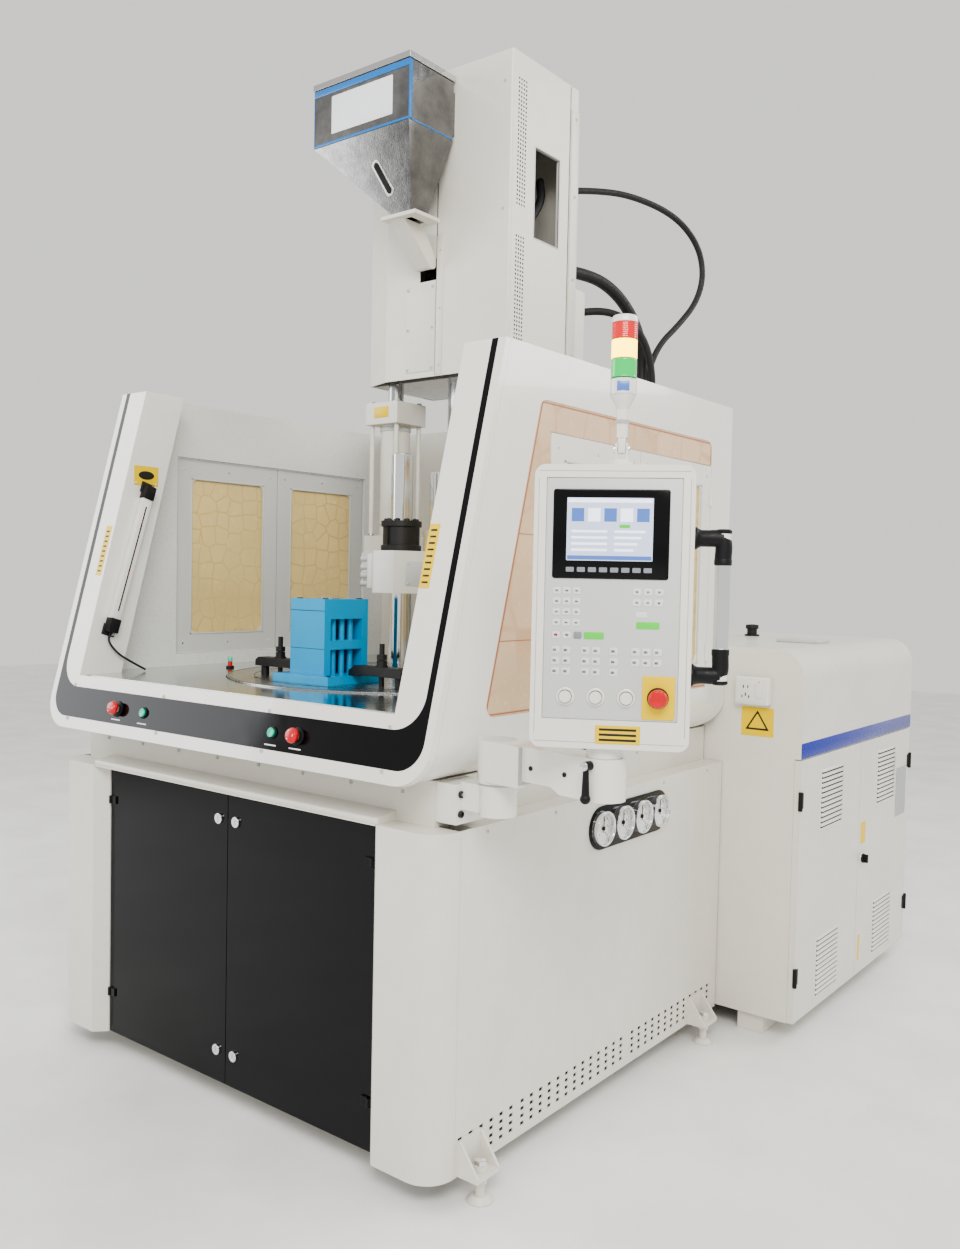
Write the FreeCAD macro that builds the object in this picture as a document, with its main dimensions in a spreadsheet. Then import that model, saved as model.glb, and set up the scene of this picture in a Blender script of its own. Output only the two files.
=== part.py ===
"""Vertical injection moulding machine with a two station rotary table.

Millimetres, +Z up, +Y to the rear, +X to the operator's right.  The origin lies on the floor
under the axis of the rotary table, which turns round the front tie bar.
"""
import FreeCAD, Part
import Sketcher
import math
import os
from FreeCAD import Placement, Rotation, Vector

doc = FreeCAD.newDocument("injection_moulding_machine")

# ---------------------------------------------------------------- driving sizes
SIZES = [
    # base cabinet
    ("half_width", 804, "half the width of base and cabin"),
    ("front_y", -741, "front face of the corner covers"),
    ("rear_y", 766, "rear face of base and cabin"),
    ("base_bottom", 60, "underside of the base above the floor"),
    ("base_top", 910, "top face of the base"),
    ("frame_wall", 40, "wall of the welded base frame"),
    ("frame_front_y", -680, "front face of the base frame"),
    ("sheet", 4, "thickness of the cover sheets"),
    ("gap", 0.3, "clearance between parts that pass or rest close together"),
    ("corner_radius", 80, "outer rounding of the front corner covers"),
    ("cover_seam_y", -655, "seam between corner cover and side panel"),
    ("cover_inner_x", 607, "inner end of the cover's front face"),
    ("jamb_x", 571, "jamb beside the front doors"),
    ("jamb_y", -705, "front edge of the jamb"),
    # front doors
    ("door_front_y", -703, "front face of the black doors"),
    ("door_depth", 22, "depth of a folded door pan"),
    ("door_low", 64, "lower edge of the front doors"),
    ("door_high", 902, "upper edge of the front doors"),
    ("door_gap", 3, "gap round a door"),
    ("latch_x", 37, "quarter turn latch from the centre seam"),
    ("latch_high_z", 822, "upper latches"),
    ("latch_low_z", 156, "lower latches"),
    ("latch_radius", 15, "latch rose"),
    ("hinge_low_z", 180, "lower hinges of the front doors"),
    ("hinge_high_z", 790, "upper hinges of the front doors"),
    ("hinge_pin_radius", 5, "hinge knuckle of the front doors"),
    # side panel vents
    ("vent_long", 16, "length of a vent slot"),
    ("vent_high", 10, "height of a vent slot"),
    ("vent_pitch", 42, "distance between vent columns"),
    ("vent_row_pitch", 20, "distance between vent rows"),
    ("vent_low_z", 90, "lowest vent row"),
    # skirt
    ("skirt_inset", 70, "skirt behind the base's outline"),
    ("skirt_flange", 66, "width of the flange that carries the cabin walls"),
    # cabin
    ("cabin_low", 1025, "underside of the cabin"),
    ("cabin_high", 2110, "top edge of the cabin"),
    ("front_low_y", -793, "front plane of the cabin at its underside"),
    ("slope", 14.35, "lean of the cabin front from the vertical, degrees"),
    ("frame_depth", 20, "depth of the front frame's face"),
    ("post_width", 133, "width of a front post"),
    ("post_depth", 150, "depth of a front post"),
    ("sill_high", 168, "height of the front rail along the slope"),
    ("cabin_radius", 100, "rounding of the cabin's lower edges"),
    ("wall", 30, "thickness of the cabin walls"),
    ("band_rim", 25, "white rim outside the black band"),
    ("band_strip", 19, "width of the black strip on a post"),
    ("band_low", 36, "lower edge of the black band along the slope"),
    ("band_high", 131, "upper edge of the black band along the slope"),
    ("band_thick", 3, "thickness of the black band"),
    ("deck_top", 1188, "top of the deck sheet"),
    ("deck_thick", 6, "thickness of the deck sheet"),
    # cabin windows
    ("window_front_y", -311, "front edge of the window doors"),
    ("window_rear_y", 618, "rear edge of the window doors"),
    ("left_window_low", 1233, "lower edge of the left window doors"),
    ("left_window_high", 1920, "upper edge of the left window doors"),
    ("right_window_low", 1190, "lower edge of the right window doors"),
    ("right_window_high", 1900, "upper edge of the right window doors"),
    ("pane_low", 1175, "lower edge of the fixed pane"),
    ("pane_high", 1980, "upper edge of the fixed pane"),
    ("pane_low_y", -574, "front edge of the fixed pane at its foot"),
    ("pane_high_y", -359, "front edge of the fixed pane at its top"),
    ("pane_radius", 30, "corner rounding of the panes"),
    ("pane_thick", 5, "thickness of the clear panes"),
    ("window_frame", 68, "width of a window door's frame"),
    ("window_depth", 18, "depth of a window door"),
    # rotary table and mould
    ("table_radius", 555, "radius of the rotary table"),
    ("table_thick", 40, "thickness of the rotary table"),
    ("table_top", 1192, "top of the rotary table"),
    ("table_gap", 3, "gap between table and deck"),
    ("pedestal_radius", 440, "radius of the cast pedestal"),
    ("pedestal_bore", 150, "bore of the pedestal"),
    ("station", 320, "mould station from the table axis"),
    ("stud_x", 222, "clamp stud beside the station"),
    ("bolt_pitch", 100, "pitch of the threaded holes in the table"),
    ("bolt_bore", 16, "threaded hole in the table"),
    ("mould_width", 148, "mould body across"),
    ("mould_length", 184, "mould body front to back"),
    ("mould_high", 228, "mould body height over its base plate"),
    ("mould_base", 240, "mould base plate, square"),
    ("mould_base_thick", 26, "mould base plate thickness"),
    # clamp
    ("bar_radius", 36, "tie bar"),
    ("bar_bore", 36.2, "hole round a tie bar in the platen"),
    ("bar_clear", 45, "clearance hole round a tie bar below"),
    ("rear_bar_x", 299, "rear tie bars from the middle"),
    ("rear_bar_y", 539, "rear tie bars behind the table axis"),
    ("bar_low", 420, "lower end of the tie bars"),
    ("bar_high", 1918, "upper end of the tie bars"),
    ("platen_low", 1464, "underside of the platen"),
    ("platen_high", 1602, "top of the platen"),
    ("platen_rim", 83, "platen edge outside the tie bar line"),
    ("nut_radius", 59, "split nut of the front tie bar"),
    ("nut_high", 96, "height of the split nut"),
    ("crosshead_thick", 60, "thickness of the lower crosshead"),
    ("ram_radius", 70, "clamp ram"),
    ("cylinder_radius", 115, "clamp cylinder"),
    # injection unit
    ("barrel_y", 320, "injection axis behind the table axis"),
    ("carriage_x", 226, "carriage cylinders from the middle"),
    ("carriage_y", 209, "carriage cylinders behind the table axis"),
    ("carriage_head", 150, "square head of a carriage cylinder"),
    ("carriage_radius", 52, "barrel of a carriage cylinder"),
    ("carriage_high", 2128, "top of the carriage cylinder heads"),
    ("carriage_rod", 27, "rod of a carriage cylinder"),
    ("unit_low", 2195, "underside of the injection cover"),
    ("unit_high", 3195, "top of the injection cover"),
    ("unit_half", 320, "half the width of the injection cover"),
    ("unit_front_y", 134, "front face of the injection cover"),
    ("unit_rear_y", 519, "rear face of the injection cover"),
    ("unit_plate", 30, "thickness of the injection unit's base plate"),
    ("barrel_radius", 60, "heated barrel with its bands"),
    ("screw_motor_radius", 110, "screw drive motor"),
    ("feed_x", -20, "feed slot from the middle"),
    ("feed_z", 2551, "feed slot height"),
    # hopper
    ("hopper_left", -345, "left side of the hopper box"),
    ("hopper_right", 83, "right side of the hopper box"),
    ("hopper_front_y", -90, "front of the hopper box"),
    ("hopper_rear_y", 124, "rear of the hopper box"),
    ("hopper_box_low", 2952, "lower edge of the hopper box"),
    ("hopper_high", 3160, "upper edge of the hopper box"),
    ("hopper_throat", 74, "side of the square throat"),
    ("hopper_low", 2690, "lower end of the hopper"),
    ("throat_y", 17, "throat in front of the table axis"),
    # rear cabinet
    ("cabinet_right", 1059, "right wall of the rear cabinet behind its doors"),
    ("cabinet_left", -804, "left wall of the rear cabinet"),
    ("cabinet_rear_y", 1936, "rear of the cabinet"),
    ("cabinet_low", 66, "underside of the cabinet"),
    ("cabinet_high", 1306, "top of the cabinet"),
    ("cabinet_radius", 95, "rounding of the cabinet's top edge"),
    ("cabinet_wall", 12, "wall of the cabinet"),
    ("fascia_low", 946, "lower edge of the blue fascia"),
    ("cabinet_door_depth", 22, "depth of a cabinet door"),
    ("cabinet_hinge_low", 222, "lower cabinet hinges"),
    ("cabinet_hinge_high", 809, "upper cabinet hinges"),
    ("lock_z", 503, "lock of the cabinet doors"),
    # hose trunk
    ("trunk_x", 392, "middle of the hose trunk"),
    ("trunk_y", 850, "middle of the hose trunk"),
    ("trunk_half", 76, "half the side of the hose trunk"),
    ("trunk_high", 2000, "top of the hose trunk"),
    # operator panel
    ("arm_x", 880, "pivot of the panel arm"),
    ("arm_y", -612, "pivot of the panel arm"),
    ("arm_low", 955, "foot of the arm's pivot post"),
    ("arm_joint_z", 1034, "seam between pivot post and arm"),
    ("arm_high", 1136, "top of the arm"),
    ("arm_radius", 46, "pivot post radius"),
    ("arm_long", 318, "length of the arm"),
    ("arm_turn", -7.2, "direction of the arm at rest, degrees"),
    ("panel_turn", 30, "direction of the panel at rest, degrees"),
    ("panel_width", 336, "panel case width"),
    ("panel_high", 600, "panel case height"),
    ("panel_depth", 92, "panel case depth"),
    ("panel_low", 1160, "lower edge of the panel case"),
    ("panel_radius", 24, "panel case corner rounding"),
    ("lamp_radius", 28, "signal lamp"),
    ("lamp_low", 1910, "lower edge of the lamp body"),
    ("lamp_high", 2078, "top of the lamp"),
    ("fold_z", 1796, "folding joint of the lamp post"),
    ("fold_pin", 3, "pin of the folding joint"),
    ("running", 0.05, "radial clearance of a pin that turns"),
    # buttons and gauges
    ("stop_radius", 20, "mushroom of an emergency stop"),
    ("stop_travel", 5, "travel of an emergency stop"),
    ("push_radius", 13, "push button"),
    ("push_travel", 4, "travel of a push button"),
    ("stop_left_x", -431, "left emergency stop"),
    ("stop_right_x", 356, "right emergency stop"),
    ("start_left_x", -300, "left start button"),
    ("start_right_x", 262, "right start button"),
    ("button_s", 81, "front buttons along the slope"),
    ("gauge_radius", 50, "bezel of a pressure gauge"),
    ("gauge_pitch", 110, "distance between gauges"),
    ("gauge_y", -19, "first gauge"),
    ("gauge_z", 812, "gauges above the floor"),
    ("gauge_plate", 62.5, "half height of the gauge plate"),
    # feet
    ("foot_reach", 64, "foot brackets beyond the side panels"),
    ("foot_y", 600, "foot brackets from the table axis"),
    ("foot_bolt", 24, "levelling bolt"),
]

sheet = doc.addObject("Spreadsheet::Sheet", "Sizes")
for row, (alias, number, note) in enumerate(SIZES, start=1):
    sheet.set(f"A{row}", alias)
    sheet.set(f"B{row}", str(number))
    sheet.set(f"C{row}", note)
    sheet.setAlias(f"B{row}", alias)
doc.recompute()


class Size:
    """A sheet value or a sum of them: the expression that FreeCAD keeps, and its number now."""

    def __init__(self, text, number):
        self.text = text
        self.number = number

    def join(self, sign, other, number):
        return Size(f"({self.text} {sign} {as_size(other).text})", number)

    def __add__(self, other):
        return self.join("+", other, self.number + as_size(other).number)

    def __sub__(self, other):
        return self.join("-", other, self.number - as_size(other).number)

    def __mul__(self, other):
        return self.join("*", other, self.number * as_size(other).number)

    def __truediv__(self, other):
        return self.join("/", other, self.number / as_size(other).number)

    def __radd__(self, other):
        return as_size(other) + self

    def __rsub__(self, other):
        return as_size(other) - self

    def __rmul__(self, other):
        return as_size(other) * self

    def __neg__(self):
        return as_size(0) - self


def as_size(value):
    """A plain number as a Size, so that both kinds mix."""
    return value if isinstance(value, Size) else Size(repr(float(value)), float(value))


def cosine(angle):
    return Size(f"cos({angle.text} * 1 deg)", math.cos(math.radians(angle.number)))


def tangent(angle):
    return Size(f"tan({angle.text} * 1 deg)", math.tan(math.radians(angle.number)))


class Sheet:
    """Sheet values by name."""

    def __getattr__(self, alias):
        return Size(f"Sizes.{alias}", float(getattr(sheet, alias)))


s = Sheet()


# ---------------------------------------------------------------- building blocks
def bind(thing, **sizes):
    """Tie properties of an object to expressions of the sheet."""
    for name, size in sizes.items():
        thing.setExpression(name, as_size(size).text)
    return thing


def place(thing, x=0, y=0, z=0, turn=None):
    """Put an object at a bound place, turned by a plain rotation."""
    thing.Placement = Placement(Vector(0, 0, 0), turn or Rotation())
    for axis, size in zip("xyz", (x, y, z)):
        thing.setExpression(f"Placement.Base.{axis}", as_size(size).text)
    return thing


def box(name, low, high):
    """A box between two corners given as bound sizes."""
    thing = doc.addObject("Part::Box", name)
    spans = [as_size(b) - as_size(a) for a, b in zip(low, high)]
    bind(thing, Length=spans[0], Width=spans[1], Height=spans[2])
    return place(thing, *low)


TURN = {
    "x": Rotation(Vector(0, 1, 0), 90),
    "y": Rotation(Vector(1, 0, 0), -90),
    "z": Rotation(),
}


def rod(name, foot, radius, length, axis="z"):
    """A cylinder from its foot along an axis."""
    thing = doc.addObject("Part::Cylinder", name)
    bind(thing, Radius=radius, Height=length)
    return place(thing, *foot, turn=TURN[axis])


def frustum(name, foot, radius, end_radius, length, axis="z"):
    """A cone frustum from its foot along an axis."""
    thing = doc.addObject("Part::Cone", name)
    bind(thing, Radius1=radius, Radius2=end_radius, Height=length)
    return place(thing, *foot, turn=TURN[axis])


def fuse(name, *things):
    thing = doc.addObject("Part::MultiFuse", name)
    thing.Shapes = list(things)
    return thing


def cut(name, base, *tools):
    thing = doc.addObject("Part::Cut", name)
    thing.Base = base
    thing.Tool = tools[0] if len(tools) == 1 else fuse(name + "_tools", *tools)
    return thing


def common(name, *things):
    thing = doc.addObject("Part::MultiCommon", name)
    thing.Shapes = list(things)
    return thing


def group(name, *things):
    """Separate solids of one node."""
    thing = doc.addObject("Part::Compound", name)
    thing.Links = list(things)
    return thing


def origin_plane(body, role):
    return next(item for item in body.Origin.OriginFeatures if item.Role == role)


PLANES = {"top": "XY_Plane", "front": "XZ_Plane", "side": "YZ_Plane"}


def bound_sketch(body, name, plane, corners):
    """A closed outline whose corners are held by bound distances from the origin."""
    sketch = body.newObject("Sketcher::SketchObject", name)
    sketch.AttachmentSupport = [(origin_plane(body, PLANES[plane]), "")]
    sketch.MapMode = "FlatFace"
    points = [Vector(as_size(a).number, as_size(b).number, 0) for a, b in corners]
    count = len(points)
    for i in range(count):
        sketch.addGeometry(Part.LineSegment(points[i], points[(i + 1) % count]), False)
    for i in range(count):
        sketch.addConstraint(Sketcher.Constraint("Coincident", i, 2, (i + 1) % count, 1))
    for i, pair in enumerate(corners):
        for kind, size, number in zip(("DistanceX", "DistanceY"), pair, (points[i].x, points[i].y)):
            index = sketch.addConstraint(Sketcher.Constraint(kind, i, 1, number))
            sketch.setExpression(f"Constraints[{index}]", as_size(size).text)
    return sketch


def pad(body, sketch, length, backward=False):
    feature = body.newObject("PartDesign::Pad", sketch.Name + "_pad")
    feature.Profile = sketch
    bind(feature, Length=length)
    feature.Reversed = backward
    sketch.Visibility = False
    return feature


def round_edges(body, radius, name, chosen):
    """Fillet the edges of the body's tip that pass the test."""
    doc.recompute()
    tip = body.Tip
    names = [f"Edge{i}" for i, edge in enumerate(tip.Shape.Edges, start=1) if chosen(edge)]
    fillet = body.newObject("PartDesign::Fillet", name)
    fillet.Base = (tip, names)
    bind(fillet, Radius=radius)
    return fillet


def along(axis, places):
    """Test for straight edges along an axis through any of the places across it."""
    first, second = [i for i in range(3) if i != axis]

    def chosen(edge):
        box_now = edge.BoundBox
        spans = (box_now.XLength, box_now.YLength, box_now.ZLength)
        if spans[first] > 0.01 or spans[second] > 0.01:
            return False
        centre = edge.CenterOfMass
        return any(abs(centre[first] - a) < 0.1 and abs(centre[second] - b) < 0.1
                   for a, b in places)
    return chosen


def prism(name, plane, corners, length, shift=(0, 0, 0), turn=None, backward=False, rounds=()):
    """A padded outline.  rounds holds (radius, corner numbers) pairs."""
    body = doc.addObject("PartDesign::Body", name)
    pad(body, bound_sketch(body, name + "_outline", plane, corners), length, backward)
    axis = {"top": 2, "front": 1, "side": 0}[plane]
    for number, (radius, picked) in enumerate(rounds):
        spots = [tuple(as_size(size).number for size in corners[i]) for i in picked]
        round_edges(body, radius, f"{name}_round{number}", along(axis, spots))
    place(body, *shift, turn=turn)
    return body


# ---------------------------------------------------------------- the parts' list
NODES = {}


def node(name, thing):
    """Enter a finished sub-part under its own label."""
    thing.Label = name
    NODES[name] = thing
    return thing


def mirrored(name, thing):
    """The mirror image of a sub-part across the middle plane."""
    twin = doc.addObject("Part::Mirroring", name)
    twin.Source = thing
    twin.Normal = Vector(1, 0, 0)
    twin.Base = Vector(0, 0, 0)
    return twin


BARS = (("front", 0, 0), ("left", -s.rear_bar_x, s.rear_bar_y), ("right", s.rear_bar_x, s.rear_bar_y))


def bar_holes(name, radius, low, high):
    """Cutters round the three tie bars."""
    return [rod(f"{name}_{side}", (x, y, low), radius, high - low) for side, x, y in BARS]


# ---------------------------------------------------------------- base
def make_base():
    outer = box("base_outer", (-s.half_width + s.sheet, s.frame_front_y, s.base_bottom),
                (s.half_width - s.sheet, s.rear_y - s.sheet, s.base_top))
    lip = box("base_lip", (-s.cover_inner_x + s.sheet, s.front_y, s.base_top - s.sheet),
              (s.cover_inner_x - s.sheet, s.frame_front_y + 1, s.base_top))
    inner = box("base_inner",
                (-s.jamb_x, s.frame_front_y - 1, s.base_bottom + s.frame_wall),
                (s.jamb_x, s.rear_y - s.frame_wall, s.base_top - s.frame_wall))
    sides = box("base_sides",
                (-s.half_width + s.frame_wall, s.frame_front_y + s.frame_wall,
                 s.base_bottom + s.frame_wall),
                (s.half_width - s.frame_wall, s.rear_y - s.frame_wall, s.base_top - s.frame_wall))
    corners = [box(f"base_corner_{side}",
                   (x, s.frame_front_y - 1, s.base_bottom - 1),
                   (x + s.corner_radius, s.frame_front_y + s.corner_radius, s.base_top + 1))
               for side, x in (("left", -s.half_width), ("right", s.half_width - s.corner_radius))]
    holes = bar_holes("base_hole", s.bar_clear, s.base_top - s.frame_wall - 1, s.base_top + 1)
    node("base_frame", cut("base_frame_cut", fuse("base_blank", outer, lip), inner, sides,
                           *corners, *holes))


def make_corner_covers():
    """Rounded sheet columns beside the front doors, each with a cap on top."""
    t = s.sheet
    edge = s.half_width
    back = s.frame_front_y - s.gap

    def column(name, inset, low, high):
        return prism(name, "top",
                     [(edge - inset, s.cover_seam_y), (edge - inset, s.front_y + inset),
                      (s.cover_inner_x + inset * 0.4, s.front_y + inset),
                      (s.jamb_x + inset, s.jamb_y + inset * 0.4), (s.jamb_x + inset, back),
                      (edge - s.corner_radius + s.gap, back),
                      (edge - s.corner_radius + s.gap, s.cover_seam_y)],
                     high - low, shift=(0, 0, low), rounds=((s.corner_radius - inset, (1,)),))
    outer = column("right_corner_outer", as_size(0), s.base_bottom, s.base_top)
    inner = column("right_corner_inner", t, s.base_bottom - 1, s.base_top - t)
    slot = box("right_corner_slot", (0, s.front_y - 1, s.base_top - t - s.gap),
               (s.cover_inner_x - t + s.gap, s.frame_front_y + 1, s.base_top + 1))
    right = cut("right_corner", outer, inner, slot)
    node("corner_covers", group("corner_covers_group", right, mirrored("left_corner", right)))


def make_side_panels():
    t = s.sheet
    body = doc.addObject("PartDesign::Body", "right_panel")
    low = s.base_bottom
    panel = bound_sketch(body, "right_panel_outline", "side",
                         [(s.cover_seam_y + s.gap, low), (s.rear_y - t, low),
                          (s.rear_y - t, s.base_top), (s.cover_seam_y + s.gap, s.base_top)])
    pad(body, panel, t)
    groups = ((s.cover_seam_y + 20, 6), (s.cover_seam_y + 280, 13), (s.cover_seam_y + 850, 13))
    for number, (first, count) in enumerate(groups):
        doc.recompute()
        before = body.Tip.Shape.Volume
        for row in range(4):
            z = s.vent_low_z + s.vent_row_pitch * row
            slot = bound_sketch(body, f"vent_{number}_{row}", "side",
                                [(first - s.vent_long / 2, z - s.vent_high / 2),
                                 (first + s.vent_long / 2, z - s.vent_high / 2),
                                 (first + s.vent_long / 2, z + s.vent_high / 2),
                                 (first - s.vent_long / 2, z + s.vent_high / 2)])
            pocket = body.newObject("PartDesign::Pocket", f"vent_{number}_{row}_cut")
            pocket.Profile = slot
            pocket.Type = 1
            pocket.Reversed = True
            doc.recompute()
            pattern = body.newObject("PartDesign::LinearPattern", f"vent_{number}_{row}_row")
            pattern.Originals = [pocket]
            pattern.Direction = (slot, ["H_Axis"])
            bind(pattern, Length=s.vent_pitch * (count - 1))
            pattern.Occurrences = count
            body.Tip = pattern
            doc.recompute()
        taken = before - body.Tip.Shape.Volume
        wanted = 4 * count * s.vent_long.number * s.vent_high.number * t.number
        if abs(taken - wanted) > 0.01 * wanted:
            raise RuntimeError(f"vents cut {taken:.0f} mm3 instead of {wanted:.0f}")
    place(body, s.half_width - t, 0, 0)
    node("side_panels", group("side_panels_group", body, mirrored("left_panel", body)))


def make_feet():
    """Four levelling brackets: foot plate, two gussets, back plate and a bolt with its nut."""
    feet = []
    for side, outward in (("right", 1), ("left", -1)):
        for end, y in (("front", -s.foot_y), ("rear", s.foot_y)):
            tag = f"foot_{side}_{end}"
            wall_x = s.half_width * outward

            def span(low_out, high_out, tag=tag, outward=outward):
                a, b = s.half_width + low_out, s.half_width + high_out
                return (a, b) if outward > 0 else (-b, -a)
            x0, x1 = span(0, s.foot_reach)
            back0, back1 = span(0, 8)
            plate = box(tag + "_plate", (x0, y - 45, 62), (x1, y + 45, 74))
            back = box(tag + "_back", (back0, y - 45, 62), (back1, y + 45, 150))
            ribs = []
            for rib, dy in (("a", -45), ("b", 37)):
                low_x, high_x = (back1, x1) if outward > 0 else (back0, x0)
                ribs.append(prism(f"{tag}_rib_{rib}", "front",
                                  [(low_x, 74), (high_x, 74), (low_x, 148)], 8,
                                  shift=(0, y + dy + 8, 0)))
            middle = (s.half_width + s.foot_reach * 0.58) * outward
            bore = rod(tag + "_bore", (middle, y, 50), s.foot_bolt / 2 + 0.5, 40)
            bracket = cut(tag + "_bracket", fuse(tag + "_blank", plate, back, *ribs), bore)
            bolt = fuse(tag + "_bolt",
                        rod(tag + "_shank", (middle, y, 10), s.foot_bolt / 2, 90),
                        rod(tag + "_nut", (middle, y, 43), s.foot_bolt * 0.75, 18.7),
                        rod(tag + "_lock", (middle, y, 74.3), s.foot_bolt * 0.75, 14),
                        frustum(tag + "_pad", (middle, y, 0), 34, 20, 14))
            feet += [bracket, bolt]
    node("levelling_feet", group("levelling_feet_group", *feet))


def make_skirt():
    x = s.half_width - s.skirt_inset
    front = s.front_y + s.skirt_inset
    t = s.sheet
    top = s.cabin_low - s.gap
    outer = box("skirt_outer", (-x, front, s.base_top), (x, s.rear_y - t, top))
    inner = box("skirt_inner", (-x + t, front + t, s.base_top - 1),
                (x - t, s.rear_y - t * 2, top - t))
    opening = box("skirt_opening", (-x + s.skirt_flange, front + t, s.base_top - 1),
                  (x - s.skirt_flange, s.rear_y - t * 2, top + 1))
    lip = prism("skirt_lip", "side",
                [(s.front_y + 4, s.base_top), (front, s.base_top), (front, s.base_top + 26),
                 (s.front_y + 4, s.base_top + 14)],
                s.cover_inner_x * 2, shift=(-s.cover_inner_x, 0, 0),
                rounds=((8, (3,)),))
    node("skirt_cover", fuse("skirt_cover_fuse", cut("skirt_ring", outer, inner, opening),
                              lip))


# ---------------------------------------------------------------- front doors and latches
def make_front_doors():
    width = s.jamb_x - s.door_gap * 1.5
    pan = box("right_door_pan", (s.door_gap / 2, s.door_front_y, s.door_low),
              (s.door_gap / 2 + width, s.door_front_y + s.door_depth, s.door_high))
    hollow = box("right_door_hollow",
                 (s.door_gap / 2 + 3, s.door_front_y + 3, s.door_low + 3),
                 (s.door_gap / 2 + width - 3, s.door_front_y + s.door_depth + 1, s.door_high - 3))
    bores = [rod(f"right_door_bore_{tag}", (s.latch_x, s.door_front_y - 1, z), 9, 6, "y")
             for tag, z in (("low", s.latch_low_z), ("high", s.latch_high_z))]
    knuckles = []
    for tag, z in (("low", s.hinge_low_z), ("high", s.hinge_high_z)):
        pin_x = s.jamb_x - s.door_gap - 4
        pin_y = s.door_front_y - s.hinge_pin_radius
        knuckles.append(fuse(f"right_door_knuckle_{tag}",
                             rod(f"right_door_knuckle_{tag}_round", (pin_x, pin_y, z),
                                 s.hinge_pin_radius, 24),
                             box(f"right_door_knuckle_{tag}_leaf", (pin_x - 26, pin_y, z),
                                 (pin_x, s.door_front_y + 0.5, z + 24))))
    right = fuse("right_door_fuse", cut("right_door_shell", pan, hollow, *bores), *knuckles)
    node("front_door_right", right)
    node("front_door_left", mirrored("left_door_mirror", right))


def make_latches():
    """Quarter turn latches: rose, slotted key bit, shank and cam."""
    for side, sign in (("left", -1), ("right", 1)):
        for level, z in (("upper", s.latch_high_z), ("lower", s.latch_low_z)):
            tag = f"latch_{side}_{level}"
            x = s.latch_x * sign
            face = s.door_front_y
            rose = rod(tag + "_rose", (x, face - 6.3, z), s.latch_radius, 6, "y")
            slot = box(tag + "_slot", (x - 2, face - 7.3, z - 9), (x + 2, face - 3.3, z + 9))
            shank = rod(tag + "_shank", (x, face - 1, z), 8, 14, "y")
            cam = box(tag + "_cam", (x - 7, face + 9, z - 7), (x + 7, face + 13, z + 34))
            node(tag, fuse(tag + "_fuse", cut(tag + "_head", rose, slot), shank, cam))


# ---------------------------------------------------------------- cabin
SLOPE_TURN = Rotation(Vector(1, 0, 0), -s.slope.number)
slope_length = (s.cabin_high - s.cabin_low) / cosine(s.slope)


def sloped(thing):
    """Lean a body back onto the cabin's front plane."""
    return place(thing, 0, s.front_low_y, s.cabin_low, turn=SLOPE_TURN)


def front_y_at(z):
    """The cabin's front plane at a height."""
    return s.front_low_y + (z - s.cabin_low) * tangent(s.slope)


def make_front_frame():
    """The white U: one face sheet and two posts behind it."""
    w = s.half_width
    inner = w - s.post_width
    top = slope_length + 60
    face = prism("frame_face", "front",
                 [(-w, 0), (w, 0), (w, top), (inner, top), (inner, s.sill_high),
                  (-inner, s.sill_high), (-inner, top), (-w, top)],
                 s.frame_depth, backward=True, rounds=((s.cabin_radius, (0, 1)),))
    sloped(face)
    posts = []
    for side, a, b in (("left", -w + s.wall + s.gap, -inner), ("right", inner, w - s.wall - s.gap)):
        post = prism(f"frame_post_{side}", "front",
                     [(a, s.sill_high - 2), (b, s.sill_high - 2), (b, top), (a, top)],
                     s.post_depth * cosine(s.slope), backward=True)
        sloped(post)
        posts.append(post)
    trim = box("frame_trim", (-w - 1, s.front_low_y - 40, s.cabin_low - 1),
               (w + 1, s.rear_y, s.cabin_high))
    recess = band_blank("frame_recess", s.band_thick, s.gap / 3)
    blank = common("frame_trimmed", fuse("frame_blank", face, *posts), trim)
    bores = [button_bore(f"frame_{tag}", x, radius) for tag, x, radius in BUTTON_BORES]
    node("front_frame", cut("front_frame_cut", blank, recess, *bores))


def band_blank(name, thickness, grow):
    """The black U on the frame's face."""
    outer = s.half_width - s.band_rim + grow
    inner = s.half_width - s.band_rim - s.band_strip - grow
    top = slope_length + 50
    blank = prism(name, "front",
                  [(-outer, s.band_low - grow), (outer, s.band_low - grow), (outer, top),
                   (inner, top), (inner, s.band_high + grow), (-inner, s.band_high + grow),
                   (-inner, top), (-outer, top)],
                  thickness, backward=True,
                  rounds=((s.cabin_radius - s.band_rim, (0, 1)), (s.cabin_radius * 0.9, (4, 5))))
    return sloped(blank)


BUTTON_BORES = (("stop_left", s.stop_left_x, 11), ("start_left", s.start_left_x, 11),
                ("start_right", s.start_right_x, 11), ("stop_right", s.stop_right_x, 11))


def button_bore(name, x, radius):
    bore = rod(name + "_bore", (0, 0, 0), radius, 60, "y")
    lean = SLOPE_TURN.multiply(TURN["y"])
    back = SLOPE_TURN.multVec(Vector(0, -5, s.button_s.number))
    return place(bore, x, s.front_low_y + back.y, s.cabin_low + back.z, turn=lean)


def make_front_band():
    blank = band_blank("band_plate", s.band_thick - s.gap / 3, 0)
    trim = box("band_trim", (-s.half_width, s.front_low_y - 40, s.cabin_low),
               (s.half_width, s.rear_y, s.cabin_high))
    bores = [button_bore(f"band_{tag}", x, radius) for tag, x, radius in BUTTON_BORES]
    node("front_band", cut("front_band_cut", common("band_trimmed", blank, trim), *bores))


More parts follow.
